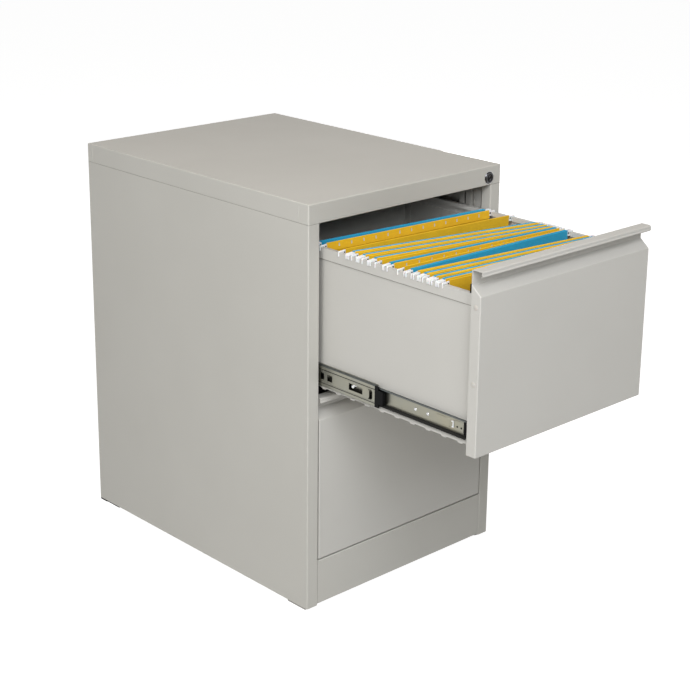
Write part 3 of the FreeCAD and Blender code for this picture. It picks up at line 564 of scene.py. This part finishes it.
hooks = bmesh.new()
hook_hole_shade = bmesh.new()
for place in BLUE_FILES + YELLOW_FILES + (OPEN_BLUE_FILE, OPEN_YELLOW_FILE):
    for side in BOTH_SIDES:
        lines = (place[0], place[2]) if side < 0 else (place[1], place[3])
        for line, inward in zip(lines, BOTH_SIDES):
            middle = DRAWER_FACE_Y + line + inward * RAIL_MIDDLE
            near, far = middle - HOOK_THICKNESS / 2, middle + HOOK_THICKNESS / 2
            add_plate(hooks, [(side * x, near, z) for x, z in hook_outline()], (0, HOOK_THICKNESS, 0))
            # Black block through each pad: painted shade of the hole where the rail sits.
            low_x, high_x = across(side, HOOK_INNER + 1.2, HOOK_INNER + PAD_WIDTH)
            add_block(hook_hole_shade, (low_x, near - 0.1, HOOK_SEAT - 2.6), (high_x, far + 0.1, HOOK_SEAT + 0.6))
bmesh.ops.recalc_face_normals(hooks, faces=hooks.faces)
file_hooks = finish_piece(
    "nylon_file_hooks", hooks, "upper_drawer", white_nylon, 40, ["file_hooks"])
rounding = file_hooks.modifiers.new("moulded_edges", "BEVEL")
rounding.width = 0.35 * MM
rounding.segments = 1
rounding.limit_method = "ANGLE"
rounding.angle_limit = math.radians(50)
finish_piece("painted_shade_in_hook_holes", hook_hole_shade, "upper_drawer", black_acetal, 0)

# %% [markdown]
# ## Slide members
# A slide member is strip steel, rolled to a channel whose flanges are races for the balls. Rolling
# leaves a flat band beside each race and a shallow recess between them, and a punch makes the stop
# slots. A line of points is the section. It is extruded from station to station along the slide,
# faces are taken out for the slots, and Solidify gives the strip its thickness. The races hold
# grease, and their bands and the grooves beside them are painted darker than the web: grease, and
# painted shade and reflection of the channel.

# %% Races with grease and painted shade
greased_race_painted_dark = rolled_zinc("greased_race_of_slide_strip", "6d7272", "565a5a", 0.28, 0.45)
grease_and_painted_shade = moulded_plastic("dark_slide_grease", "1c1c1b", 0.5, 0.0, 0.15)
print("races", greased_race_painted_dark.name, grease_and_painted_shade.name)

# %% Strip rolled to a section
CARRIER_X = 205.5
FRONT_Y = -310.0
SLIDES = {"upper": (424.5, -350.0), "lower": (125.0, 0.0)}
STRIP = 0.8
# Bands of the section: web, race and a dark band. The race and the dark band carry grease and painted shade.
WEB, RACE, GREASE_AND_SHADE = 0, 1, 2


def whole_section(half):
    """Section and its bands from the upper half, whose points say the band that follows them."""
    bands = [band for u, w, band in half]
    return [(u, w) for u, w, band in half] + [(u, -w) for u, w, band in half[::-1]], bands + bands[-2::-1]


def rolled_strip(shape, half, level, stations, is_open):
    """Left and right strip swept along Y through the stations, without the faces that are open."""
    path, bands = whole_section(half)
    for side in BOTH_SIDES:
        ends = [shape.verts.new((side * (CARRIER_X - u), stations[0], level + w)) for u, w in path]
        edges = [shape.edges.new(pair) for pair in zip(ends, ends[1:])]
        for start, end in zip(stations, stations[1:]):
            grown = bmesh.ops.extrude_edge_only(shape, edges=edges)["geom"]
            ends = only_verts(grown)
            bmesh.ops.translate(shape, verts=ends, vec=(0, end - start, 0))
            edges = [one for one in grown
                     if isinstance(one, bmesh.types.BMEdge) and set(one.verts) <= set(ends)]
    middles = [((a[0] + b[0]) / 2, (a[1] + b[1]) / 2) for a, b in zip(path, path[1:])]
    taken = []
    for face in shape.faces:
        place = face.calc_center_median()
        u, w = CARRIER_X - abs(place.x), place.z - level
        gaps = [abs(middle_u - u) + abs(middle_w - w) for middle_u, middle_w in middles]
        face.material_index = bands[gaps.index(min(gaps))]
        if is_open(place.y - stations[0], u, w):
            taken.append(face)
    bmesh.ops.delete(shape, geom=taken, context="FACES")


def member_piece(name, shape, body, kind):
    """Finished pair of slide members, left and right, with the strip's thickness."""
    piece = name + "_slide_" + kind + "_members"
    parts = [name + "_slide_" + kind + "_member_" + end for end in ("left", "right")]
    finishes = [slide_zinc, greased_race_painted_dark, grease_and_painted_shade]
    give_gauge(finish_piece(piece, shape, body, finishes, 0, parts), STRIP)


print("strip tools ready")

# %% Middle members with their stop slots
MIDDLE_HALF = [
    (10.6, 16.6, WEB), (10.6, 17.4, WEB), (10.2, 17.8, WEB), (8.2, 17.8, RACE), (7.0, 17.5, RACE),
    (5.4, 17.5, RACE), (4.4, 17.8, RACE), (3.5, 17.6, RACE), (3.0, 17.0, WEB), (3.0, 12.6, GREASE_AND_SHADE),
    (3.5, 12.2, GREASE_AND_SHADE), (3.5, 11.4, GREASE_AND_SHADE), (3.0, 11.0, WEB), (3.0, 10.7, WEB), (3.6, 9.9, WEB),
    (3.6, 8.5, WEB), (3.6, 5.6, WEB),
]
MIDDLE_START = 45.0
MIDDLE_LENGTH = 500.0
# First and last distance behind the front end, and half the height. The first slot is a crescent.
STOP_SLOTS = ((8.5, 16.0, 9.0), (29.0, 61.0, 6.0), (101.0, 113.0, 6.0), (120.5, 129.5, 6.0))
CRESCENT_BOW = 2.5
CRESCENT_REACH = (8.0, 17.0)
CRESCENT_HALF = 6.0


def in_stop_slot(distance, u, w):
    """True for a face of a stop slot."""
    return any(start < distance < end and abs(w) < half_height for start, end, half_height in STOP_SLOTS)


for name, (level, pull) in SLIDES.items():
    start = FRONT_Y + MIDDLE_START + pull / 2
    middle = bmesh.new()
    places = sorted({0.0, MIDDLE_LENGTH}.union(*[slot[:2] for slot in STOP_SLOTS]))
    rolled_strip(middle, MIDDLE_HALF, level, [start + place for place in places], in_stop_slot)
    for vertex in middle.verts:
        in_reach = CRESCENT_REACH[0] < vertex.co.y - start < CRESCENT_REACH[1]
        if in_reach and abs(vertex.co.z - level) < CRESCENT_HALF:
            vertex.co.y -= CRESCENT_BOW
    member_piece(name, middle, name + "_slide_middles", "middle")

# %% Drawer members
MEMBER_HALF = [
    (5.6, 15.1, RACE), (5.6, 14.0, RACE), (6.2, 13.3, RACE), (11.4, 13.3, RACE), (12.3, 12.5, WEB),
    (12.3, 9.0, WEB),
]
MEMBER_START = 24.5
MEMBER_LENGTH = 525.0
# Faces of the lower lip below this take the dark finish: grease, and painted shade of the lower track.
DARKENED_BELOW = 12.6
for name, (level, pull) in SLIDES.items():
    start = FRONT_Y + MEMBER_START + pull
    member = bmesh.new()
    rolled_strip(member, MEMBER_HALF, level, [start, start + MEMBER_LENGTH], lambda distance, u, w: False)
    for face in member.faces:
        if face.calc_center_median().z < level - DARKENED_BELOW:
            face.material_index = GREASE_AND_SHADE
    member_piece(name, member, name + "_drawer", "drawer")

# %% [markdown]
# ## Cages and balls
# The balls are hardened steel, 3.2 mm across, five to a race. A bent cage keeps them apart. The
# inner cage's web is cut away in front, and a tongue of white nylon there catches the middle member
# when the drawer is shut. Each ball is a small icosphere, because there are eighty of them.

# %% Inner cages, tongues and balls
CAGE_GAUGE = 0.6
CAGE_HALF = [(9.2, 15.95, WEB), (6.4, 15.95, WEB), (4.4, 15.95, WEB), (4.4, 11.0, WEB)]
INNER_CAGE_START = 180.0
INNER_CAGE_LENGTH = 235.0
OUTER_CAGE_START = 160.0
BALL_RADIUS = 1.6
BALL_PITCH = 45.0
BALL_COUNT = 5
INNER_FIRST_BALL = 27.5
OUTER_FIRST_BALL = 35.0
CUT_AWAY = 96.0
CUT_HALF = 11
POCKET_BEND = 6.4
INNER_CAGE_SHARE, OUTER_CAGE_SHARE = 0.75, 0.25
INNER_BALL_PLACE = (8.0, 15.35)
OUTER_BALL_PLACE = (4.4, 19.85)
TONGUE_OUTLINE = ((0.3, 12.5), (4.0, 12.5), (4.6, 4.0), (7.6, 0.8), (6.2, -1.6), (2.6, -0.6), (0.6, 3.6))
TONGUE_X = CARRIER_X - 4.8
TONGUE_THICKNESS = 1.0


def in_cage_opening(distance, u, w):
    """True in the cut-away web and in the pockets for the balls."""
    pocket = (distance - INNER_FIRST_BALL + BALL_PITCH / 2) % BALL_PITCH - BALL_PITCH / 2
    return (distance < CUT_AWAY and abs(w) < CUT_HALF) or (u > POCKET_BEND and abs(pocket) < BALL_RADIUS)


def ball_piece(name, kind, level, first, place):
    """Rows of balls above and below the axis, left and right, on their cages' body."""
    shape = bmesh.new()
    inset, height = place
    for index in range(BALL_COUNT):
        for side in BOTH_SIDES:
            for above in BOTH_SIDES:
                centre = (side * (CARRIER_X - inset), first + index * BALL_PITCH, level + above * height)
                bmesh.ops.create_icosphere(
                    shape, subdivisions=2, radius=BALL_RADIUS, matrix=Matrix.Translation(centre))
    finish_piece(name + "_slide_" + kind + "_balls", shape, name + "_slide_" + kind + "_cage_pair",
                 chrome, 60)


for name, (level, pull) in SLIDES.items():
    start = FRONT_Y + INNER_CAGE_START + INNER_CAGE_SHARE * pull
    body = name + "_slide_inner_cage_pair"
    cage = bmesh.new()
    edges_of_pockets = [INNER_FIRST_BALL + index * BALL_PITCH + side * BALL_RADIUS
                        for index in range(BALL_COUNT) for side in BOTH_SIDES]
    places = sorted([0.0, CUT_AWAY, INNER_CAGE_LENGTH] + edges_of_pockets)
    rolled_strip(cage, CAGE_HALF, level, [start + place for place in places], in_cage_opening)
    give_gauge(finish_piece(name + "_slide_inner_cage_strips", cage, body, cage_steel, 0,
                            [name + "_slide_inner_cages"]), CAGE_GAUGE)

    tongues = bmesh.new()
    for side in BOTH_SIDES:
        corners = [(side * TONGUE_X, start + y, level + w) for y, w in TONGUE_OUTLINE]
        add_plate(tongues, corners, (side * TONGUE_THICKNESS, 0, 0))
    bmesh.ops.recalc_face_normals(tongues, faces=tongues.faces)
    finish_piece(name + "_slide_cage_tongues", tongues, body, white_nylon)

    outer_start = FRONT_Y + OUTER_CAGE_START + OUTER_CAGE_SHARE * pull
    ball_piece(name, "inner", level, start + INNER_FIRST_BALL, INNER_BALL_PLACE)
    ball_piece(name, "outer", level, outer_start + OUTER_FIRST_BALL, OUTER_BALL_PLACE)

# %% [markdown]
# ## Fittings on the drawer members
# Pan-head screws hold each member to the drawer's side. At its front end sit a white nylon catch,
# which lets the drawer be lifted out, two thin plates, two black rivets and a black end stop. The stop
# is thin where the middle member's bumper comes to rest. A screw head is half a profile spun round its
# axis. The catch is an outline that is extruded.

# %% Round pieces
OUTWARD = {side: Matrix.Rotation(math.radians(90 * side), 4, "Y") for side in BOTH_SIDES}
FORWARD = Matrix.Rotation(math.radians(90), 4, "X")


def add_turned(shape, profile, placed, steps=16):
    """Closed round piece: a profile of (radius, height) spun about its axis, then placed."""
    part = bmesh.new()
    points = [part.verts.new((radius, 0, height)) for radius, height in profile]
    edges = [part.edges.new(pair) for pair in zip(points, points[1:])]
    bmesh.ops.spin(part, geom=points + edges, axis=(0, 0, 1), cent=(0, 0, 0), angle=math.tau,
                   steps=steps, use_merge=True, use_duplicate=False)
    bmesh.ops.remove_doubles(part, verts=part.verts, dist=0.0005)
    bmesh.ops.recalc_face_normals(part, faces=part.faces)
    part.transform(placed)
    carried = bpy.data.meshes.new("turned")
    part.to_mesh(carried)
    part.free()
    shape.from_mesh(carried)
    bpy.data.meshes.remove(carried)


print("turning ready")

# %% Screws, plates, catches and end stops
MEMBER_FACE = 11.9
PAN_HEAD = ((0, 0), (2.9, 0), (2.9, 0.5), (2.2, 1.0), (1.1, 1.25), (0, 1.3))
RIVET = ((0, 0), (1.5, 0), (1.4, 0.5), (0, 0.7))
SCREW_PLACES = (86.0, 113.0, 250.0, 400.0)
RIVET_PLACES = (14.0, 22.5)
CATCH_PLACE = 30.0
CATCH_THICKNESS = 1.4
CATCH_OUTLINE = ((0, -5.4), (3.6, -5.4), (3.6, -3.8), (1.6, -3.6), (1.6, 3.4), (2.6, 4.0), (4.2, 3.2),
                 (4.6, 4.6), (2.6, 5.6), (0, 5.4))
# For each plate and stop: start and end behind the member's front end, half its height, its two levels
# from the face outward, the radius of its edges and their segments
PLATES = ((9.5, 28.0, 8.0, -0.1, 0.5, 0.25, 1), (38.5, 66.0, 7.0, -0.1, 0.5, 0.4, 1))
STOPS = ((0.2, 2.0, 11.6, 0.0, 5.5, 0.6, 2), (1.8, 9.0, 11.6, 0.0, 0.6, 0.2, 1))
for name, (level, pull) in SLIDES.items():
    start = FRONT_Y + MEMBER_START + pull
    body = name + "_drawer"
    screws, catches, stops, plates = bmesh.new(), bmesh.new(), bmesh.new(), bmesh.new()
    for side in BOTH_SIDES:
        face_x = side * (CARRIER_X - MEMBER_FACE)
        for place in SCREW_PLACES:
            add_turned(screws, PAN_HEAD, Matrix.Translation((face_x, start + place, level)) @ OUTWARD[side])
        for place in RIVET_PLACES:
            seat = Matrix.Translation((face_x + side * 0.5, start + place, level - 2))
            add_turned(stops, RIVET, seat @ OUTWARD[side], 12)
        for shape, blocks in ((plates, PLATES), (stops, STOPS)):
            for near, far, half_height, inset, rise, edge, segments in blocks:
                low_x, high_x = across(side, CARRIER_X - MEMBER_FACE + inset, CARRIER_X - MEMBER_FACE + rise)
                add_block(shape, (low_x, start + near, level - half_height),
                          (high_x, start + far, level + half_height), edge, segments)
        corners = [(face_x, start + CATCH_PLACE + y, level + w) for y, w in CATCH_OUTLINE]
        add_plate(catches, corners, (side * CATCH_THICKNESS, 0, 0))
    bmesh.ops.recalc_face_normals(catches, faces=catches.faces)
    finish_piece(name + "_slide_screws", screws, body, chrome, 50)
    finish_piece(name + "_slide_end_plates", plates, body, slide_zinc, 40)
    finish_piece(name + "_slide_end_stops", stops, body, black_acetal, 40)
    finish_piece(name + "_slide_catches", catches, body, white_nylon)

# %% [markdown]
# ## Ledges, tabs and plugs of the drawers
# Under each slide the drawer's side carries a narrow ledge, bent outward to catch the light. Short
# tabs with slanted ends hang from its edge every 34 mm. A plastic plug, 9 mm across and slightly
# domed, closes each of two holes in the flanges at the ends of the front. The ledge is a line that is
# drawn out along Y, the tabs are blocks whose lower edge is drawn in, and the plugs are turned.

# %% Ledges, tabs and plugs
LEDGE_PATH = ((193.2, -18.6), (194.9, -20.4), (196.5, -23.4))
LEDGE_GAUGE = 0.8
LEDGE_START, LEDGE_END = 27.0, 548.0
TAB_PITCH = 34.35
TAB_COUNT = 15
TAB_FIRST = 37.7
TAB_HALF = 6.0
TAB_DROP = 2.0
TAB_SLANT = 1.8
TAB_SPAN = (196.1, 196.9)
PLUG = ((0, 0), (4.5, 0), (4.5, 0.3), (3.6, 0.7), (2.0, 0.95), (0, 1.0))
PLUG_HEIGHTS = (79.5, 200.5)
PLUG_X = 203.4
PLUG_SETBACK = 9.3
for name, (level, pull) in SLIDES.items():
    ledges, tabs, plugs = bmesh.new(), bmesh.new(), bmesh.new()
    face_y = FRONT_Y + pull
    for side in BOTH_SIDES:
        points = [(side * x, face_y + LEDGE_START, level + w) for x, w in LEDGE_PATH]
        add_bent_strip(ledges, points, (0, LEDGE_END - LEDGE_START, 0))
        low_x, high_x = across(side, *TAB_SPAN)
        foot = level + LEDGE_PATH[-1][1]
        for index in range(TAB_COUNT):
            middle_y = face_y + TAB_FIRST + index * TAB_PITCH
            tab = add_block(tabs, (low_x, middle_y - TAB_HALF, foot - TAB_DROP),
                            (high_x, middle_y + TAB_HALF, foot + 0.2))
            for vertex in tab:
                if vertex.co.z < foot:
                    vertex.co.y += TAB_SLANT if vertex.co.y < middle_y else -TAB_SLANT
        for height in PLUG_HEIGHTS:
            place = (side * PLUG_X, face_y + PLUG_SETBACK, level + height)
            add_turned(plugs, PLUG, Matrix.Translation(place) @ OUTWARD[side], 24)
    give_gauge(finish_piece(name + "_drawer_side_ledges", ledges, name + "_drawer", drawer_coat,
                            0), LEDGE_GAUGE)
    finish_piece(name + "_drawer_side_tabs", tabs, name + "_drawer", drawer_coat, 0)
    finish_piece(name + "_drawer_front_plugs", plugs, name + "_drawer", grey_polythene, 60)

# %% [markdown]
# ## The lock's bezel and keyway
# The bezel is a turned dome with a thin flange of bright chrome. The dome's chrome is painted dark and
# the plug's face in its bore is painted black, a painted reflection of a dark room. A raised oval frames
# the keyway, in the same chrome painted dark. The dome and its barrel are one profile, spun round the
# lock's axis. The oval is a spun ring that is drawn in sideways.

# %% Bezel, face and keyway frame
LOCK_X, LOCK_Z = 199.3, 699.0
BORE_REACH, RIM_REACH = 7.0, 11.15
PAINTED_DARK_DOME, PAINTED_DARK_PLUG, BRIGHT = 0, 1, 2
BEZEL = ((6.6, -22.5), (6.6, 2.3), (7.0, 2.8), (7.7, 3.0), (8.6, 2.8), (9.5, 2.4), (10.3, 1.8), (10.9, 1.0),
         (11.2, 0.6), (11.6, 0.6), (11.6, 0.05), (9.5, 0.05), (9.5, -22.5), (6.6, -22.5))
OVAL = ((3.6, 2.4), (3.6, 2.75), (4.0, 3.0), (4.6, 3.0), (5.0, 2.75), (5.0, 2.4), (3.6, 2.4))
OVAL_WIDTH = 0.5
lock_axis = Matrix.Translation((LOCK_X, FRONT_Y, LOCK_Z)) @ FORWARD
bezel = bmesh.new()
add_turned(bezel, BEZEL, lock_axis, 40)
# Dome faces take the chrome painted dark, bore faces the chrome painted black, and the flange bright chrome.
for face in bezel.faces:
    reach = (face.calc_center_median() - lock_axis.translation).xz.length
    face.material_index = PAINTED_DARK_PLUG if reach < BORE_REACH else BRIGHT if reach > RIM_REACH else PAINTED_DARK_DOME
finish_piece("lock_bezel_cup", bezel, "carcass", (chrome_painted_dark, chrome_painted_black, chrome), 40,
             ["lock_housing"])
frame_ring = bmesh.new()
add_turned(frame_ring, OVAL, lock_axis @ Matrix.Diagonal((OVAL_WIDTH, 1.0, 1.0, 1.0)), 32)
finish_piece("lock_keyway_frame", frame_ring, "lock_cylinder", chrome_painted_dark, 40)

# %% [markdown]
# ## Closing strips behind the stiles
# Between each stile and its front upright a bent strip closes the gap, just behind the locking bar.
# It is an open path in plan, extruded upward, with the thickness of the sheet.

# %% Closing strips
STRIP_PLAN = ((206.2, 20.4), (213.5, 21.0), (213.5, 46.6))
STRIP_FOOT, STRIP_TOP = 540.0, 684.0
strips = bmesh.new()
for side in BOTH_SIDES:
    points = [(side * x, FRONT_Y + behind, STRIP_FOOT) for x, behind in STRIP_PLAN]
    add_bent_strip(strips, points, (0, 0, STRIP_TOP - STRIP_FOOT))
give_gauge(finish_piece("stile_closing_strips", strips, "carcass", shell_coat, 0), STRIP)

# %% [markdown]
# ## Pads under the shell
# Each rear corner rests on a black pad, thick at the corner and thinner towards the front. Each front
# corner has a short powder-coated bracket under the base, so the shell stands a few millimetres clear.
# The bracket takes the darker coat, as painted shade under the base.

# %% Corner pads and brackets
PAD_OUTER, PAD_INNER, REAR_EDGE = 229.4, 204.0, 309.4
PAD_STEPS = (((0.0, 21.0), -3.9), ((21.0, 62.0), -2.6))
BRACKET_ENDS, BRACKET_FOOT = (-304.0, -258.0), -3.2
PAD_TOP = -0.05
pads, brackets = bmesh.new(), bmesh.new()
for side in BOTH_SIDES:
    low_x, high_x = across(side, PAD_INNER, PAD_OUTER)
    for (near, far), foot in PAD_STEPS:
        add_block(pads, (low_x, REAR_EDGE - far, foot), (high_x, REAR_EDGE - near, PAD_TOP), 0.5)
    add_block(brackets, (low_x, BRACKET_ENDS[0], BRACKET_FOOT), (high_x, BRACKET_ENDS[1], PAD_TOP), 0.5)
finish_piece("rear_corner_pads", pads, "carcass", black_acetal, 40)
# The front brackets get the darker coat as painted shade.
finish_piece("front_corner_brackets", brackets, "carcass", painted_shade_coat, 40)

# %% [markdown]
# ## Painted shade in the seams, and marks
# Where two sheets meet, a thin strip of the darker coat is laid in the joint as painted shade of the
# gap: under the cap, and under the rolled rail of each drawer's side. Each corner of the cap's side
# skirt has an upright crease where the corner was folded and welded. The creases are slim rounded ribs.

# %% Painted shade in the seams under the cap and the rolled rails, and the cap's creases
SEAM_LOW, SEAM_HIGH = 685.0, 686.0
# Near and far X, and near and far Y, of the seam on the side and of the seam over the stile
CAP_SEAMS = ((228.9, 229.6, -309.4, 309.4), (206.0, 229.5, -309.6, -308.9))
CREASE_SPAN = (229.8, 230.3)
CREASE_PLACES = (-285.5, 294.5)
CREASE_HALF = 0.6
CREASE_LOW, CREASE_HIGH = 689.0, 713.0
RAIL_SEAM_SPAN = (192.7, 193.3)
RAIL_SEAM_ENDS = (20.5, 549.0)
RAIL_SEAM_RISE = 196.9
# Strips of the darker coat in the cap's joints: painted shade of the gaps.
seams = bmesh.new()
for side in BOTH_SIDES:
    for near_x, far_x, near_y, far_y in CAP_SEAMS:
        low_x, high_x = across(side, near_x, far_x)
        add_block(seams, (low_x, near_y, SEAM_LOW), (high_x, far_y, SEAM_HIGH))
finish_piece("cap_seam_painted_shade", seams, "carcass", painted_shade_coat, 0)
creases = bmesh.new()
for side in BOTH_SIDES:
    low_x, high_x = across(side, *CREASE_SPAN)
    for y in CREASE_PLACES:
        add_block(creases, (low_x, y - CREASE_HALF, CREASE_LOW), (high_x, y + CREASE_HALF, CREASE_HIGH), 0.2)
finish_piece("cap_corner_creases", creases, "carcass", shell_coat, 40)
# A strip of the same painted shade under each drawer's rolled rail.
for name, (level, pull) in SLIDES.items():
    seam = bmesh.new()
    foot = level + RAIL_SEAM_RISE
    near_y, far_y = [FRONT_Y + pull + end for end in RAIL_SEAM_ENDS]
    for side in BOTH_SIDES:
        low_x, high_x = across(side, *RAIL_SEAM_SPAN)
        add_block(seam, (low_x, near_y, foot), (high_x, far_y, foot + 1.0))
    finish_piece(name + "_drawer_rail_seams", seam, name + "_drawer", painted_shade_coat, 0)

# %% [markdown]
# ## Studio
# The cabinet stands on a white sweep. To the camera, and in reflections, the sweep is paper white. It
# still catches the faint shadow at the feet. A large soft box in front, one at the left and one above
# give the tones of top, side and front. Weak ones from the right and from behind open the shade, a
# small lamp gives the glints on metal, and an even surround fills in the rest.

# %% Floor, surround and soft boxes
FLOOR_RADIUS = 14.0
PAPER_GLOW = 0.94
SURROUND_LIGHT = 0.084
MIRRORED_WHITE = 0.8
WARM, WARMER, COOL, NEUTRAL = (1.0, 0.93, 0.80), (1.0, 0.86, 0.70), (0.98, 1.0, 1.04), (1.0, 1.0, 1.0)


def seen_rays(tree, mirror_share):
    """1 for rays from the camera or through glass, a share for mirrored ones, 0 for all others."""
    rays = add(tree, "ShaderNodeLightPath")
    mirrored = add(tree, "ShaderNodeMath", {"operation": "MULTIPLY", 1: mirror_share},
                   {0: rays.outputs["Is Glossy Ray"]})
    direct = add(tree, "ShaderNodeMath", {"operation": "MAXIMUM"},
                 {0: rays.outputs["Is Camera Ray"], 1: rays.outputs["Is Transmission Ray"]})
    return add(tree, "ShaderNodeMath", {"operation": "MAXIMUM"},
               {0: direct.outputs[0], 1: mirrored.outputs[0]})


def paper_white(name, share):
    """Studio paper that shows white to the camera and keeps a soft shadow."""
    material, tree, output = new_material(name)
    seen = seen_rays(tree, 1.0)
    paper = add(tree, "ShaderNodeBsdfDiffuse", {"Color": linear("a8a8a6")})
    white = add(tree, "ShaderNodeEmission", {"Strength": share})
    lifted = add(tree, "ShaderNodeAddShader", {}, {0: paper.outputs[0], 1: white.outputs[0]})
    choice = add(tree, "ShaderNodeMixShader", {}, {
        0: seen.outputs[0], 1: paper.outputs[0], 2: lifted.outputs[0]})
    tree.links.new(choice.outputs[0], output.inputs["Surface"])
    return material


floor_bm = bmesh.new()
bmesh.ops.create_circle(floor_bm, cap_ends=True, segments=96, radius=FLOOR_RADIUS)
floor_mesh = bpy.data.meshes.new("floor")
floor_bm.to_mesh(floor_mesh)
floor_bm.free()
floor = bpy.data.objects.new("floor", floor_mesh)
bpy.context.scene.collection.objects.link(floor)
floor_mesh.transform(Matrix.Translation((0, 0, cad_low.z)))
floor_mesh.materials.append(paper_white("studio_paper", PAPER_GLOW))

world = bpy.data.worlds.new("surround")
bpy.context.scene.world = world
world.use_nodes = True
surround = world.node_tree
surround.nodes.clear()
seen = seen_rays(surround, MIRRORED_WHITE)
light = spread(surround, seen.outputs[0], SURROUND_LIGHT, 1.0)
sky = add(surround, "ShaderNodeBackground", {"Color": linear("ffffff")}, {"Strength": light.outputs[0]})
add(surround, "ShaderNodeOutputWorld", {}, {"Surface": sky.outputs[0]})


def soft_box(name, place, aim, size, watts, colour=NEUTRAL):
    """Square soft box at a place, turned to its aim."""
    data = bpy.data.lights.new(name, "AREA")
    data.size = size
    data.energy = watts
    data.color = colour
    lamp = bpy.data.objects.new(name, data)
    lamp.location = place
    lamp.rotation_euler = (Vector(aim) - Vector(place)).to_track_quat("-Z", "Y").to_euler()
    bpy.context.scene.collection.objects.link(lamp)


soft_box("soft_box_key", (-1.4, -2.6, 2.5), (0, -0.2, 0.35), 1.8, 88, COOL)
soft_box("soft_box_left", (-2.7, -1.2, 1.5), (0, -0.2, 0.35), 1.4, 46)
soft_box("soft_box_fill", (1.6, -2.4, 0.5), (0, -0.2, 0.2), 1.2, 4, WARM)
soft_box("soft_box_behind", (2.6, 2.2, 0.35), (0, 0, 0.35), 0.7, 26)
soft_box("soft_box_above", (-0.4, -0.4, 3.2), (0, 0, 0.5), 1.6, 20, WARMER)
soft_box("small_lamp_for_glints", (-2.4, -1.7, 2.2), (0, -0.3, 0.6), 0.3, 6)
print("studio ready")
